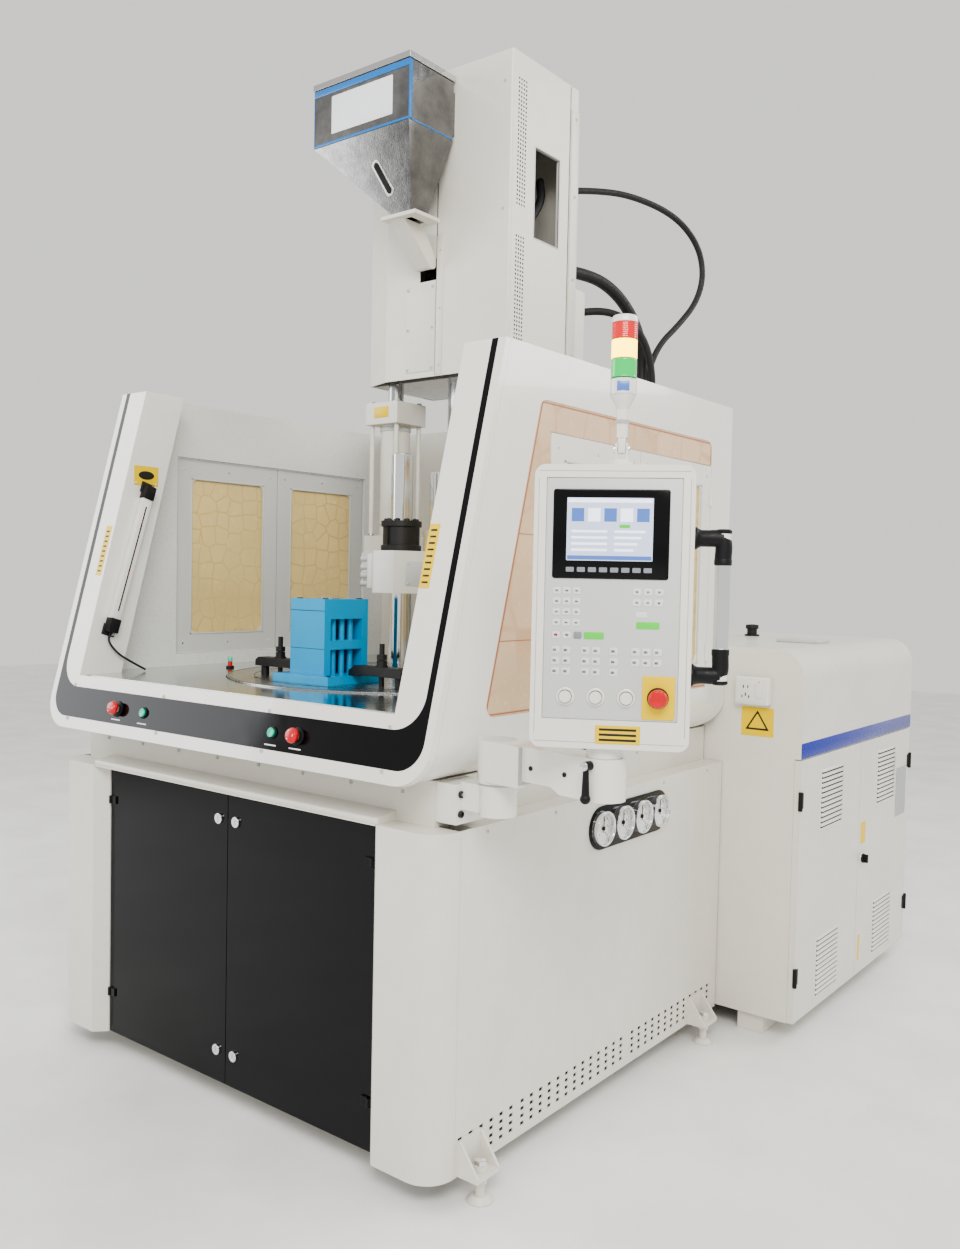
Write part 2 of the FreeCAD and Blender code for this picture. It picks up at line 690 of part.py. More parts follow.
def side_section(name, sign):
    """Cross-section of a side wall: upright, rounded inwards at its foot."""
    w = s.half_width
    inner_end = (w - s.cabin_radius * 1.3) * sign
    corners = [(inner_end, s.cabin_low), (w * sign, s.cabin_low),
               (w * sign, s.cabin_high), ((w - s.wall) * sign, s.cabin_high),
               ((w - s.wall) * sign, s.cabin_low + s.wall), (inner_end, s.cabin_low + s.wall)]
    return prism(name, "front", corners, s.rear_y - s.front_low_y + 20,
                 shift=(0, s.front_low_y - 20, 0), backward=True,
                 rounds=((s.cabin_radius, (1,)), (s.cabin_radius - s.wall, (4,))))


def side_profile(name, opening=None):
    """Side view of a wall: sloped behind the front frame, rounded at the rear foot."""
    behind = s.frame_depth / cosine(s.slope) + s.gap
    rear = s.rear_y - s.wall - s.gap
    return prism(name, "side",
                 [(front_y_at(s.cabin_low) + behind, s.cabin_low),
                  (rear + s.wall, s.cabin_low), (rear + s.wall, s.cabin_high),
                  (front_y_at(s.cabin_high) + behind, s.cabin_high)],
                 s.half_width * 2 + 40, shift=(-s.half_width - 20, 0, 0),
                 rounds=((s.cabin_radius * 1.1, (1,)),))


def pane_outline(grow):
    return [(s.pane_low_y - grow, s.pane_low - grow), (s.window_rear_y + grow, s.pane_low - grow),
            (s.window_rear_y + grow, s.pane_high + grow),
            (s.pane_high_y - grow, s.pane_high + grow)]


def make_cabin_walls():
    w = s.half_width
    grow = s.door_gap
    left = common("left_wall_blank", side_section("left_wall_section", -1),
                  side_profile("left_wall_profile"))
    left_open = box("left_wall_open", (-w - 1, s.window_front_y - grow, s.left_window_low - grow),
                    (-w + s.wall + 1, s.window_rear_y + grow, s.left_window_high + grow))
    node("cabin_left_wall", cut("left_wall_cut", left, left_open))
    right = common("right_wall_blank", side_section("right_wall_section", 1),
                   side_profile("right_wall_profile"))
    right_open = prism("right_wall_open", "side", pane_outline(s.gap), s.wall + 2,
                       shift=(w - s.wall - 1, 0, 0),
                       rounds=((s.pane_radius, (0, 2, 3)),))
    pane = prism("fixed_pane_sheet", "side", pane_outline(0), s.pane_thick,
                 shift=(w - s.pane_thick - 1, 0, 0), rounds=((s.pane_radius, (0, 2, 3)),))
    hatch = box("fixed_pane_hatch",
                (w - s.wall, s.window_front_y - grow, s.right_window_low - grow),
                (w + 1, s.window_rear_y + 40, s.right_window_high + grow))
    node("cabin_right_wall", cut("right_wall_cut", right, right_open))
    node("right_fixed_pane", cut("fixed_pane_cut", pane, hatch))
    rear_low = s.deck_top - s.deck_thick - s.gap
    node("cabin_rear_wall",
         box("rear_wall_box", (-w + s.wall + s.gap, s.rear_y - s.wall, rear_low),
             (w - s.wall - s.gap, s.rear_y, s.cabin_high)))


def window_door(tag, sign, low_y, high_y, low_z, high_z, hinge_y):
    """A framed window door; its outer face is flush with the wall, the hinge pin outside."""
    w = s.half_width
    outer, back = w * sign, (w - s.window_depth) * sign
    x0, x1 = (back, outer) if sign > 0 else (outer, back)
    blank = box(tag + "_blank", (x0, low_y, low_z), (x1, high_y, high_z))
    f = s.window_frame
    light = prism(tag + "_light", "side",
                  [(low_y + f, low_z + f), (high_y - f, low_z + f), (high_y - f, high_z - f),
                   (low_y + f, high_z - f)],
                  s.window_depth + 2, shift=(x0 - 1, 0, 0), rounds=((s.pane_radius, (0, 1, 2, 3)),))
    pane_x = x0 + (s.window_depth - s.pane_thick) / 2
    pane = prism(tag + "_pane", "side",
                 [(low_y + f, low_z + f), (high_y - f, low_z + f), (high_y - f, high_z - f),
                  (low_y + f, high_z - f)],
                 s.pane_thick, shift=(pane_x, 0, 0), rounds=((s.pane_radius, (0, 1, 2, 3)),))
    knuckles = [rod(f"{tag}_knuckle_{level}", (outer + 3 * sign, hinge_y, z), 6, 60)
                for level, z in (("low", low_z + 70), ("high", high_z - 130))]
    frame = cut(tag + "_frame", blank, light)
    node(tag, group(tag + "_group", fuse(tag + "_hung", frame, *knuckles), pane))


def make_window_doors():
    middle = (s.window_front_y + s.window_rear_y) / 2
    half_gap = s.door_gap / 2
    for side, sign, low, high in (("left", -1, s.left_window_low, s.left_window_high),
                                  ("right", 1, s.right_window_low, s.right_window_high)):
        window_door(f"{side}_window_door_front", sign, s.window_front_y, middle - half_gap,
                    low, high, s.window_front_y + 4)
        window_door(f"{side}_window_door_rear", sign, middle + half_gap, s.window_rear_y - half_gap,
                    low, high, s.window_rear_y - half_gap - 4)


def make_deck():
    behind = s.frame_depth / cosine(s.slope) + s.gap
    low = s.deck_top - s.deck_thick
    blank = box("deck_blank", (-s.half_width + s.wall + s.gap, front_y_at(s.deck_top) + behind, low),
                (s.half_width - s.wall - s.gap, s.rear_y - s.wall - s.gap, s.deck_top))
    hole = rod("deck_hole", (0, 0, low - 1), s.table_radius + s.table_gap, s.deck_thick + 2)
    notch = [box(f"deck_notch_{side}", (a, s.front_low_y, low - 1),
                 (b, front_y_at(s.deck_top) + s.post_depth + s.gap * 2, s.deck_top + 1))
             for side, a, b in (("left", -s.half_width, -s.half_width + s.post_width + s.gap),
                                ("right", s.half_width - s.post_width - s.gap, s.half_width))]
    holes = bar_holes("deck_bar", s.bar_clear, low - 1, s.deck_top + 1)[1:]
    supports = [box(f"deck_rail_{side}",
                    (a, s.front_y + s.skirt_inset + s.sheet + s.gap, s.base_top),
                    (b, s.rear_y - s.wall - 20, low))
                for side, a, b in (("left", -s.half_width + s.cabin_radius + 40,
                                    -s.half_width + s.cabin_radius + 80),
                                   ("right", s.half_width - s.cabin_radius - 80,
                                    s.half_width - s.cabin_radius - 40))]
    node("deck_plate", fuse("deck_fuse", cut("deck_cut", blank, hole, *notch, *holes), *supports))


# ---------------------------------------------------------------- table, mould, clamp
def make_table():
    pedestal = rod("pedestal_body", (0, 0, s.base_top), s.pedestal_radius,
                   s.table_top - s.table_thick - s.gap - s.base_top)
    bore = rod("pedestal_core", (0, 0, s.base_top - 1), s.pedestal_bore, 300)
    node("table_pedestal", cut("pedestal_cut", pedestal, bore))
    low = s.table_top - s.table_thick
    disc = rod("table_disc", (0, 0, low), s.table_radius, s.table_thick)
    hub = rod("table_hub", (0, 0, s.base_top + 60), s.pedestal_bore - 1, low - s.base_top - 60)
    centre = rod("table_bore", (0, 0, s.base_top), s.bar_radius + s.gap * 8, 400)
    holes = []
    for number, y in enumerate((-s.station, s.station)):
        for across in (-1, 0, 1):
            for deep in (-1, 0, 1):
                if across or deep:
                    holes.append(rod(f"table_hole_{number}_{across + 1}{deep + 1}",
                                     (s.stud_x * across, y + s.bolt_pitch * deep, low - 1),
                                     s.bolt_bore / 2, s.table_thick + 2))
    node("rotary_table", cut("table_cut", fuse("table_blank", disc, hub), centre, *holes))


def make_mould():
    """Mould on the front station: base plate, body and the open ejector housing."""
    y = -s.station
    w, d = s.mould_width / 2, s.mould_length / 2
    base = s.table_top + s.mould_base_thick
    plate = box("mould_plate", (-s.mould_base / 2, y - s.mould_base / 2, s.table_top),
                (s.mould_base / 2, y + s.mould_base / 2, base))
    body = box("mould_body", (-w, y - d, base), (w, y + d, base + s.mould_high))
    lower = box("mould_window_low", (-w + 24, y - d + 26, base), (w + 1, y + d - 26, base + 76))
    upper = box("mould_window_high", (-w + 24, y - d + 26, base + 104),
                (w + 1, y + d - 26, base + 168))
    posts = []
    for number, dy in enumerate((-36, 0, 36)):
        posts.append(rod(f"mould_pillar_{number}", (w - 22, y + dy, base), 9, 170))
    body = cut("mould_open", body, lower, upper)
    node("mould", fuse("mould_fuse", plate, body, *posts))


def make_mould_clamps():
    """Strap clamps beside the mould: strap, stud with two nuts, heel support."""
    clamps = []
    rest = s.table_top + s.mould_base_thick
    y = -s.station
    for side, sign in (("left", -1), ("right", 1)):
        tip, heel = (s.mould_base / 2 - 14) * sign, (s.stud_x + 96) * sign
        x0, x1 = (tip, heel) if sign > 0 else (heel, tip)
        strap = prism(f"clamp_{side}_strap", "front",
                      [(tip, rest), (tip + 40 * sign, rest), (tip + 52 * sign, rest + 4),
                       (heel, rest + 4), (heel, rest + 22), (heel - 14 * sign, rest + 32),
                       (tip + 24 * sign, rest + 32), (tip, rest + 16)],
                      44, shift=(0, y + 22, 0))
        bore = rod(f"clamp_{side}_bore", (s.stud_x * sign, y, rest - 1), 9, 60)
        stud = rod(f"clamp_{side}_stud", (s.stud_x * sign, y, s.table_top - 24), 7.8, 150)
        nuts = [rod(f"clamp_{side}_nut_{i}", (s.stud_x * sign, y, rest + 32 + dz), r, h)
                for i, dz, r, h in ((0, 0, 19, 4), (1, 4, 15, 15), (2, 21, 15, 15))]
        heel_block = rod(f"clamp_{side}_heel", (heel - 24 * sign, y, s.table_top), 13,
                         rest + 4 - s.table_top)
        clamps += [cut(f"clamp_{side}_bar", strap, bore),
                   fuse(f"clamp_{side}_bolt", stud, *nuts), heel_block]
    node("mould_clamps", group("mould_clamps_group", *clamps))


def make_platen():
    """Three sided cast platen: flat nose at the front bar, edges parallel to the bar lines."""
    rim = s.platen_rim
    outline = [(-45, -90), (45, -90), (s.rear_bar_x + rim * 1.4, s.rear_bar_y + rim * 0.4),
               (s.rear_bar_x + rim * 1.4, s.rear_bar_y + rim),
               (-s.rear_bar_x - rim * 1.4, s.rear_bar_y + rim),
               (-s.rear_bar_x - rim * 1.4, s.rear_bar_y + rim * 0.4)]
    plate = prism("platen_plate", "top", outline, s.platen_high - s.platen_low,
                  shift=(0, 0, s.platen_low), rounds=((12, (0, 1)), (30, (2, 3, 4, 5))))
    saddle = box("platen_saddle",
                 (-s.carriage_x - 80, s.carriage_y - 80, s.platen_high - 90),
                 (s.carriage_x + 80, s.carriage_y + 80, s.platen_high))
    nozzle = frustum("platen_nozzle", (0, s.barrel_y, s.platen_low - 1), 55, 90,
                     s.platen_high - s.platen_low + 2)
    blank = fuse("platen_blank", plate, saddle)
    node("clamp_platen", cut("platen_cut", blank, nozzle,
                             *bar_holes("platen_bar", s.bar_bore, s.platen_low - 1,
                                        s.platen_high + 1)))


def make_tie_bars():
    """Bars with their nuts above the platen and the crosshead that joins them below."""
    pieces = []
    for side, x, y in BARS:
        bar = rod(f"bar_{side}", (x, y, s.bar_low), s.bar_radius, s.bar_high - s.bar_low)
        nut = rod(f"bar_nut_{side}", (x, y, s.platen_high), s.nut_radius, s.nut_high)
        foot = rod(f"bar_foot_{side}", (x, y, s.bar_low), s.nut_radius, 40)
        pieces += [bar, nut, foot]
    head = prism("crosshead", "top",
                 [(-70, -90), (70, -90), (s.rear_bar_x + 90, s.rear_bar_y - 10),
                  (s.rear_bar_x + 90, s.rear_bar_y + 90), (-s.rear_bar_x - 90, s.rear_bar_y + 90),
                  (-s.rear_bar_x - 90, s.rear_bar_y - 10)],
                 s.crosshead_thick, shift=(0, 0, s.bar_low + 40), rounds=((40, (0, 1, 2, 3, 4, 5)),))
    ram = rod("clamp_ram", (0, s.barrel_y, s.bar_low + 40 + s.crosshead_thick), s.ram_radius,
              s.base_top - s.frame_wall - s.bar_low - 60 - s.crosshead_thick)
    node("tie_bars", fuse("tie_bars_fuse", head, ram, *pieces))


def make_clamp_cylinder():
    """Hydraulic clamp cylinder hung under the base's top plate, over the crosshead's ram."""
    top = s.base_top - s.frame_wall
    low = s.bar_low + 40 + s.crosshead_thick + 20
    body = rod("cylinder_body", (0, s.barrel_y, low), s.cylinder_radius, top - low)
    flange = rod("cylinder_flange", (0, s.barrel_y, top - 45), s.cylinder_radius + 45, 45)
    bore = rod("cylinder_bore", (0, s.barrel_y, low - 1), s.ram_radius + s.gap, top - low - 10)
    node("clamp_cylinder", cut("cylinder_cut", fuse("cylinder_blank", body, flange), bore))


# ---------------------------------------------------------------- injection unit
def make_carriage():
    """Two hydraulic cylinders that lift and lower the injection unit on the platen."""
    pieces = []
    for side, x in (("left", -s.carriage_x), ("right", s.carriage_x)):
        y, h = s.carriage_y, s.carriage_head / 2
        foot = box(f"carriage_{side}_foot", (x - h, y - h, s.platen_high),
                   (x + h, y + h, s.platen_high + 60))
        head = box(f"carriage_{side}_head", (x - h, y - h, s.carriage_high - 75),
                   (x + h, y + h, s.carriage_high))
        barrel = rod(f"carriage_{side}_barrel", (x, y, s.platen_high + 59), s.carriage_radius,
                     s.carriage_high - s.platen_high - 130)
        ties = [rod(f"carriage_{side}_tie_{i}", (x + dx, y + dy, s.platen_high + 59), 8,
                    s.carriage_high - s.platen_high - 50)
                for i, (dx, dy) in enumerate(((-58, -58), (58, -58), (58, 58), (-58, 58)))]
        bore = rod(f"carriage_{side}_bore", (x, y, s.platen_high + 80), s.carriage_rod + s.gap,
                   s.carriage_high - s.platen_high)
        pieces.append(cut(f"carriage_{side}", fuse(f"carriage_{side}_blank", foot, head, barrel,
                                                   *ties), bore))
    node("carriage_cylinders", group("carriage_group", *pieces))


def make_injection_unit():
    """Base plate with the carriage rods, the barrel with its nozzle and the screw drive."""
    low = s.unit_low
    plate = box("unit_plate", (-s.unit_half + 12, s.unit_front_y + 52, low),
                (s.unit_half - 12, s.unit_rear_y - 12, low + s.unit_plate))
    rods = [rod(f"unit_rod_{side}", (x, s.carriage_y, s.platen_high + 140), s.carriage_rod,
                low + s.unit_plate - s.platen_high - 140)
            for side, x in (("left", -s.carriage_x), ("right", s.carriage_x))]
    nozzle = frustum("unit_nozzle", (0, s.barrel_y, s.platen_high - 60), 14, 34, 90)
    barrel = rod("unit_barrel", (0, s.barrel_y, s.platen_high + 29), s.barrel_radius,
                 low - s.platen_high)
    throat = box("unit_throat", (-110, s.barrel_y - 100, low + s.unit_plate - 1),
                 (110, s.barrel_y + 100, s.feed_z + 60))
    drive = rod("unit_drive", (0, s.barrel_y, s.feed_z + 59), s.screw_motor_radius, 340)
    chute_hole = box("unit_inlet", (-30, s.barrel_y - 101, s.feed_z - 40),
                     (30, s.barrel_y - 40, s.feed_z + 20))
    node("injection_unit", cut("unit_cut", fuse("unit_fuse", plate, nozzle, barrel, throat, drive,
                                                *rods), chute_hole))


def make_injection_cover():
    """Tall sheet cover, open below, with a side window, a feed slot and a cable box."""
    x, t = s.unit_half, s.sheet
    y0, y1, z0, z1 = s.unit_front_y, s.unit_rear_y, s.unit_low, s.unit_high
    outer = prism("cover_outer", "top",
                  [(-x, y0 + 40), (-x + 110, y0), (x, y0), (x, y1), (-x, y1)],
                  z1 - z0, shift=(0, 0, z0), rounds=((10, (2, 3, 4)),))
    inner = prism("cover_inner", "top",
                  [(-x + t, y0 + 40 + t), (-x + 110, y0 + t), (x - t, y0 + t), (x - t, y1 - t),
                   (-x + t, y1 - t)], z1 - z0 - t, shift=(0, 0, z0 - 1))
    seats = [box(f"cover_seat_{side}", (a, y0 + 60, z0), (b, y1 - 60, z0 + s.unit_plate))
             for side, a, b in (("left", -x + 1, -x + 12), ("right", x - 12, x - 1))]
    window = box("cover_window", (x - 20, y0 + 130, z1 - 560), (x + 1, y0 + 270, z1 - 270))
    slot = box("cover_slot", (s.feed_x - 37, y0 - 1, s.feed_z - 35),
               (s.feed_x + 37, y0 + 20, s.feed_z + 35))
    shell = cut("cover_shell", outer, inner, window, slot)
    box_x = x - 90
    cable_box = box("cover_cable_box", (box_x, y1, z0 + 60), (x, y1 + 60, z0 + 330))
    node("injection_cover", fuse("cover_fuse", shell, cable_box, *seats))


def make_hopper():
    """Square box, pyramid to an offset throat, flange, chute to the feed slot and a bracket."""
    t = 3
    x0, x1, y0, y1 = s.hopper_left, s.hopper_right, s.hopper_front_y, s.hopper_rear_y
    half = s.hopper_throat / 2

    def loft(name, inset, low, high):
        top = Part.makePolygon([Vector(x0.number + inset, y0.number + inset, high),
                                Vector(x1.number - inset, y0.number + inset, high),
                                Vector(x1.number - inset, y1.number - inset, high),
                                Vector(x0.number + inset, y1.number - inset, high),
                                Vector(x0.number + inset, y0.number + inset, high)])
        r, cy = half.number - inset, s.throat_y.number
        foot = Part.makePolygon([Vector(-r, cy - r, low), Vector(r, cy - r, low),
                                 Vector(r, cy + r, low), Vector(-r, cy + r, low),
                                 Vector(-r, cy - r, low)])
        thing = doc.addObject("Part::Feature", name)
        thing.Shape = Part.makeLoft([foot, top], True, True)
        return thing
    cone = loft("hopper_cone", 0, s.hopper_low.number, s.hopper_box_low.number)
    hollow = loft("hopper_cone_hollow", t, s.hopper_low.number, s.hopper_box_low.number)
    tube = box("hopper_box", (x0, y0, s.hopper_box_low), (x1, y1, s.hopper_high))
    tube_hollow = box("hopper_box_hollow", (x0 + t, y0 + t, s.hopper_box_low),
                      (x1 - t, y1 - t, s.hopper_high + 1))
    flange = box("hopper_flange", (-75, s.throat_y - 62, s.hopper_low - 12),
                 (75, s.throat_y + 62, s.hopper_low))
    throat = box("hopper_throat_bore", (-half + t, s.throat_y - half + t, s.hopper_low - 13),
                 (half - t, s.throat_y + half - t, s.hopper_low + 1))
    chute = prism("hopper_chute", "side",
                  [(s.throat_y - 46, s.hopper_low - 12), (s.throat_y + 46, s.hopper_low - 12),
                   (s.unit_front_y - s.gap, s.feed_z + 32), (s.unit_front_y - s.gap, s.feed_z - 32)],
                  68, shift=(s.feed_x - 34, 0, 0), rounds=((20, (3,)),))
    chute_hollow = prism("hopper_chute_hollow", "side",
                         [(s.throat_y - 34, s.hopper_low - 11), (s.throat_y + 34, s.hopper_low - 11),
                          (s.unit_front_y + 1, s.feed_z + 24), (s.unit_front_y + 1, s.feed_z - 22)],
                         56, shift=(s.feed_x - 28, 0, 0))
    web = box("hopper_web", (x1 - 60, y1 - 1, s.hopper_box_low + 20),
              (x1, s.unit_front_y - s.gap, s.hopper_box_low + 160))
    node("hopper", cut("hopper_cut", fuse("hopper_blank", cone, tube, flange, chute, web),
                       hollow, tube_hollow, throat, chute_hollow))
    lid_low = s.hopper_high + s.gap
    lid = box("lid_top", (x0 - 4, y0 - 4, lid_low), (x1 + 4, y1 + 4, lid_low + 3))
    rim = box("lid_rim", (x0 - 4, y0 - 4, lid_low - 16), (x1 + 4, y1 + 4, lid_low + 1))
    rim_hollow = box("lid_hollow", (x0 - 1, y0 - 1, lid_low - 17), (x1 + 1, y1 + 1, lid_low))
    node("hopper_lid", fuse("lid_fuse", lid, cut("lid_skirt", rim, rim_hollow)))


# ---------------------------------------------------------------- rear cabinet
def make_cabinet():
    x0, x1 = s.cabinet_left, s.cabinet_right
    y0, y1 = s.rear_y + s.gap, s.cabinet_rear_y
    fascia = x1 + s.cabinet_door_depth
    t = s.cabinet_wall
    outline = [(x0, s.cabinet_low), (x1, s.cabinet_low), (x1, s.fascia_low), (fascia, s.fascia_low),
               (fascia, s.cabinet_high), (x0, s.cabinet_high)]
    blank = prism("cabinet_blank", "front", outline, y1 - y0, shift=(0, y0, 0), backward=True,
                  rounds=((s.cabinet_radius, (4,)),))
    hollow = box("cabinet_hollow", (x0 + t, y0 + t, s.cabinet_low + t),
                 (x1 - 40, y1 - t, s.cabinet_high - t * 3))
    doorway = box("cabinet_doorway", (x1 - 60, y0 + 40, s.cabinet_low + 40),
                  (x1 + 1, y1 - 40, s.fascia_low - 40))
    skids = [box(f"cabinet_skid_{i}", (a, y0 + 20, 0), (a + 90, y1 - 20, s.cabinet_low))
             for i, a in enumerate((x0 + 60, x1 - 180))]
    node("cabinet_body", cut("cabinet_cut", fuse("cabinet_fuse", blank, *skids), hollow, doorway))


def cabinet_door(name, low_y, high_y, hinge_y):
    x0 = s.cabinet_right + s.gap
    x1 = s.cabinet_right + s.cabinet_door_depth
    low, high = s.cabinet_low + 2, s.fascia_low - s.door_gap
    pan = box(name + "_pan", (x0, low_y, low), (x1, high_y, high))
    hollow = box(name + "_hollow", (x0 - 1, low_y + 3, low + 3), (x1 - 3, high_y - 3, high - 3))
    middle = (low_y + high_y) / 2
    louvres = []
    for level, z in (("low", 110), ("high", 690)):
        for i in range(12):
            louvres.append(box(f"{name}_louvre_{level}_{i}", (x1 - 4, middle - 104, z + i * 17),
                               (x1 + 1, middle + 104, z + i * 17 + 6)))
    knuckles = [rod(f"{name}_knuckle_{level}", (x1 + 2, hinge_y, z - 30), 7, 60)
                for level, z in (("low", s.cabinet_hinge_low), ("high", s.cabinet_hinge_high))]
    shell = cut(name + "_shell", pan, hollow, *louvres)
    return shell, knuckles


def make_cabinet_doors():
    y0, y1 = s.rear_y + s.gap + 1, s.cabinet_rear_y - 1
    middle = (y0 + y1) / 2
    half_gap = s.door_gap / 2
    shell, knuckles = cabinet_door("cabinet_front_leaf", y0, middle - half_gap, y0)
    node("cabinet_door_front", fuse("cabinet_front_fuse", shell, *knuckles))
    shell, knuckles = cabinet_door("cabinet_rear_leaf", middle + half_gap, y1, y1)
    x1 = s.cabinet_right + s.cabinet_door_depth
    bore = rod("cabinet_lock_bore", (x1 - 6, middle + 48, s.lock_z), 11, 12, "x")
    node("cabinet_door_rear", fuse("cabinet_rear_fuse", cut("cabinet_rear_shell", shell, bore),
                                   *knuckles))
    rose = rod("cabinet_lock_rose", (x1 + s.gap, middle + 48, s.lock_z), 17, 8, "x")
    grip = box("cabinet_lock_grip", (x1 + 8, middle + 44, s.lock_z - 15),
               (x1 + 22, middle + 52, s.lock_z + 15))
    shank = rod("cabinet_lock_shank", (x1 - 16, middle + 48, s.lock_z), 10, 18, "x")
    cam = box("cabinet_lock_cam", (x1 - 17, middle + 40, s.lock_z - 8),
              (x1 - 13, middle + 56, s.lock_z + 34))
    node("cabinet_lock", fuse("cabinet_lock_fuse", rose, grip, shank, cam))


def make_trunk():
    x, y, h, t = s.trunk_x, s.trunk_y, s.trunk_half, s.sheet
    outer = box("trunk_outer", (x - h, y - h, s.cabinet_high), (x + h, y + h, s.trunk_high))
    inner = box("trunk_inner", (x - h + t, y - h + t, s.cabinet_high + t),
                (x + h - t, y + h - t, s.trunk_high + 1))
    node("hose_trunk", cut("trunk_cut", outer, inner))


# ---------------------------------------------------------------- operator panel
def make_arm():
    wall = s.half_width - s.skirt_inset
    foot = s.base_top + 15
    mount = box("arm_mount", (wall, s.arm_y - 53, foot), (wall + 62, s.arm_y + 57, foot + 98))
    neck = box("arm_neck", (wall + 60, s.arm_y - 36, s.arm_low + 6),
               (s.arm_x, s.arm_y + 36, s.arm_joint_z - 6))
    post = rod("arm_post", (s.arm_x, s.arm_y, s.arm_low), s.arm_radius, s.arm_joint_z - s.arm_low)
    node("arm_bracket", fuse("arm_bracket_fuse", mount, neck, post))
    turn = Rotation(Vector(0, 0, 1), s.arm_turn.number)
    low, high = s.arm_joint_z + s.gap, s.arm_high
    hub = rod("arm_hub", (0, 0, low), s.arm_radius + 4, high - low)
    sleeve = box("arm_sleeve", (0, -s.arm_radius - 4, low + 6),
                 (110, s.arm_radius + 4, high))
    beam = prism("arm_beam", "front",
                 [(100, low + 22), (200, low + 22), (225, low + 8), (s.arm_long, low + 8),
                  (s.arm_long, high), (100, high)], 80, shift=(0, 40, 0))
    end = rod("arm_end", (s.arm_long, 0, low + 8), 48, high - low - 8)
    arm = fuse("arm_fuse", hub, sleeve, beam, end)
    place(arm, s.arm_x, s.arm_y, 0, turn=turn)
    node("panel_arm", arm)
    end_x = s.arm_x + s.arm_long * cosine(s.arm_turn)
    end_y = s.arm_y + s.arm_long * cosine(s.arm_turn) * tangent(s.arm_turn)
    return end_x, end_y


def on_panel(thing, end):
    """Carry a thing modelled in the panel's own frame to the end of the arm."""
    turn = Rotation(Vector(0, 0, 1), s.panel_turn.number)
    return place(thing, end[0], end[1], 0, turn=turn)


PANEL_X, PANEL_Y = 8, -8
LAMP_X = 12


def make_panel(end):
    """Panel case with its handle and the lamp's foot, facing -Y in the frame of the swivel."""
    w, d = s.panel_width / 2, s.panel_depth
    face = PANEL_Y - d / 2
    low, high = s.panel_low, s.panel_low + s.panel_high
    case = prism("panel_shell", "front",
                 [(PANEL_X - w, low), (PANEL_X + w, low), (PANEL_X + w, high), (PANEL_X - w, high)],
                 d, shift=(0, face, 0), backward=True, rounds=((s.panel_radius, (0, 1, 2, 3)),))
    recess = box("panel_recess", (PANEL_X - w + 26, face - 1, low + 62),
                 (PANEL_X + w - 26, face + 4, high - 28))
    column = rod("panel_column", (0, 0, s.arm_high + s.gap), 40, low - s.arm_high)
    bores = [rod(f"panel_bore_{i}", (PANEL_X + x, face - 1, low + z), r, 24, "y")
             for i, (x, z, r) in enumerate(PANEL_BORES)]
    handle_x = PANEL_X + w + 62
    bars = []
    for level, z in (("low", low + 160), ("high", high - 150)):
        bars.append(rod(f"handle_{level}_arm", (PANEL_X + w - 2, PANEL_Y, z), 17, 64, "x"))
    grip = rod("handle_grip", (handle_x, PANEL_Y, low + 143), 16, high - low - 276)
    blank = fuse("panel_fuse", case, column, grip, *bars)
    foot = frustum("lamp_foot_cone", (PANEL_X + LAMP_X, PANEL_Y, high), 36, 18, 14)
    ears = [box(f"lamp_ear_{i}", (PANEL_X + LAMP_X + dx, PANEL_Y - 12, high + 12),
                (PANEL_X + LAMP_X + dx + 5, PANEL_Y + 12, s.fold_z + 12))
            for i, dx in enumerate((-14, 9))]
    pin = rod("lamp_pin", (PANEL_X + LAMP_X - 14, PANEL_Y, s.fold_z), s.fold_pin, 28, "x")
    node("panel_case", on_panel(group("panel_group", cut("panel_cut", blank, recess, *bores),
                                      fuse("lamp_foot", foot, pin, *ears)), end))
    return face


PANEL_BORES = ((-93, 110, 8), (-29, 110, 8), (35, 110, 8), (101, 112, 9))


def make_panel_buttons(end, face):
    low = s.panel_low
    for i, name in enumerate(("panel_button_left", "panel_button_middle", "panel_button_right")):
        x, z, bore = PANEL_BORES[i]
        cap = rod(name + "_cap", (PANEL_X + x, face - s.push_travel - 5, low + z),
                  s.push_radius, 8.5, "y")
        stem = rod(name + "_stem", (PANEL_X + x, face - 1, low + z), bore - 0.5, 16, "y")
        node(name, on_panel(fuse(name + "_fuse", cap, stem), end))
    x, z, bore = PANEL_BORES[3]
    cap = frustum("panel_stop_cap", (PANEL_X + x, face - s.stop_travel - 21, low + z),
                  s.stop_radius - 3,
                  s.stop_radius, 14, "y")
    stem = rod("panel_stop_stem", (PANEL_X + x, face - 13, low + z), bore - 0.5, 28, "y")
    node("panel_stop", on_panel(fuse("panel_stop_fuse", cap, stem), end))


def make_lever(end):
    """Black clamping lever on the arm's end, hanging down in front."""
    x, y = end
    turn = Rotation(Vector(0, 0, 1), s.arm_turn.number)
    hub = rod("lever_hub", (0, -70, s.arm_high - 14), 10, 21.5, "y")
    grip = frustum("lever_grip", (0, -62, s.arm_high - 84), 9, 6, 66)
    lever = fuse("lever_fuse", hub, grip)
    node("arm_lever", place(lever, x, y, 0, turn=turn))


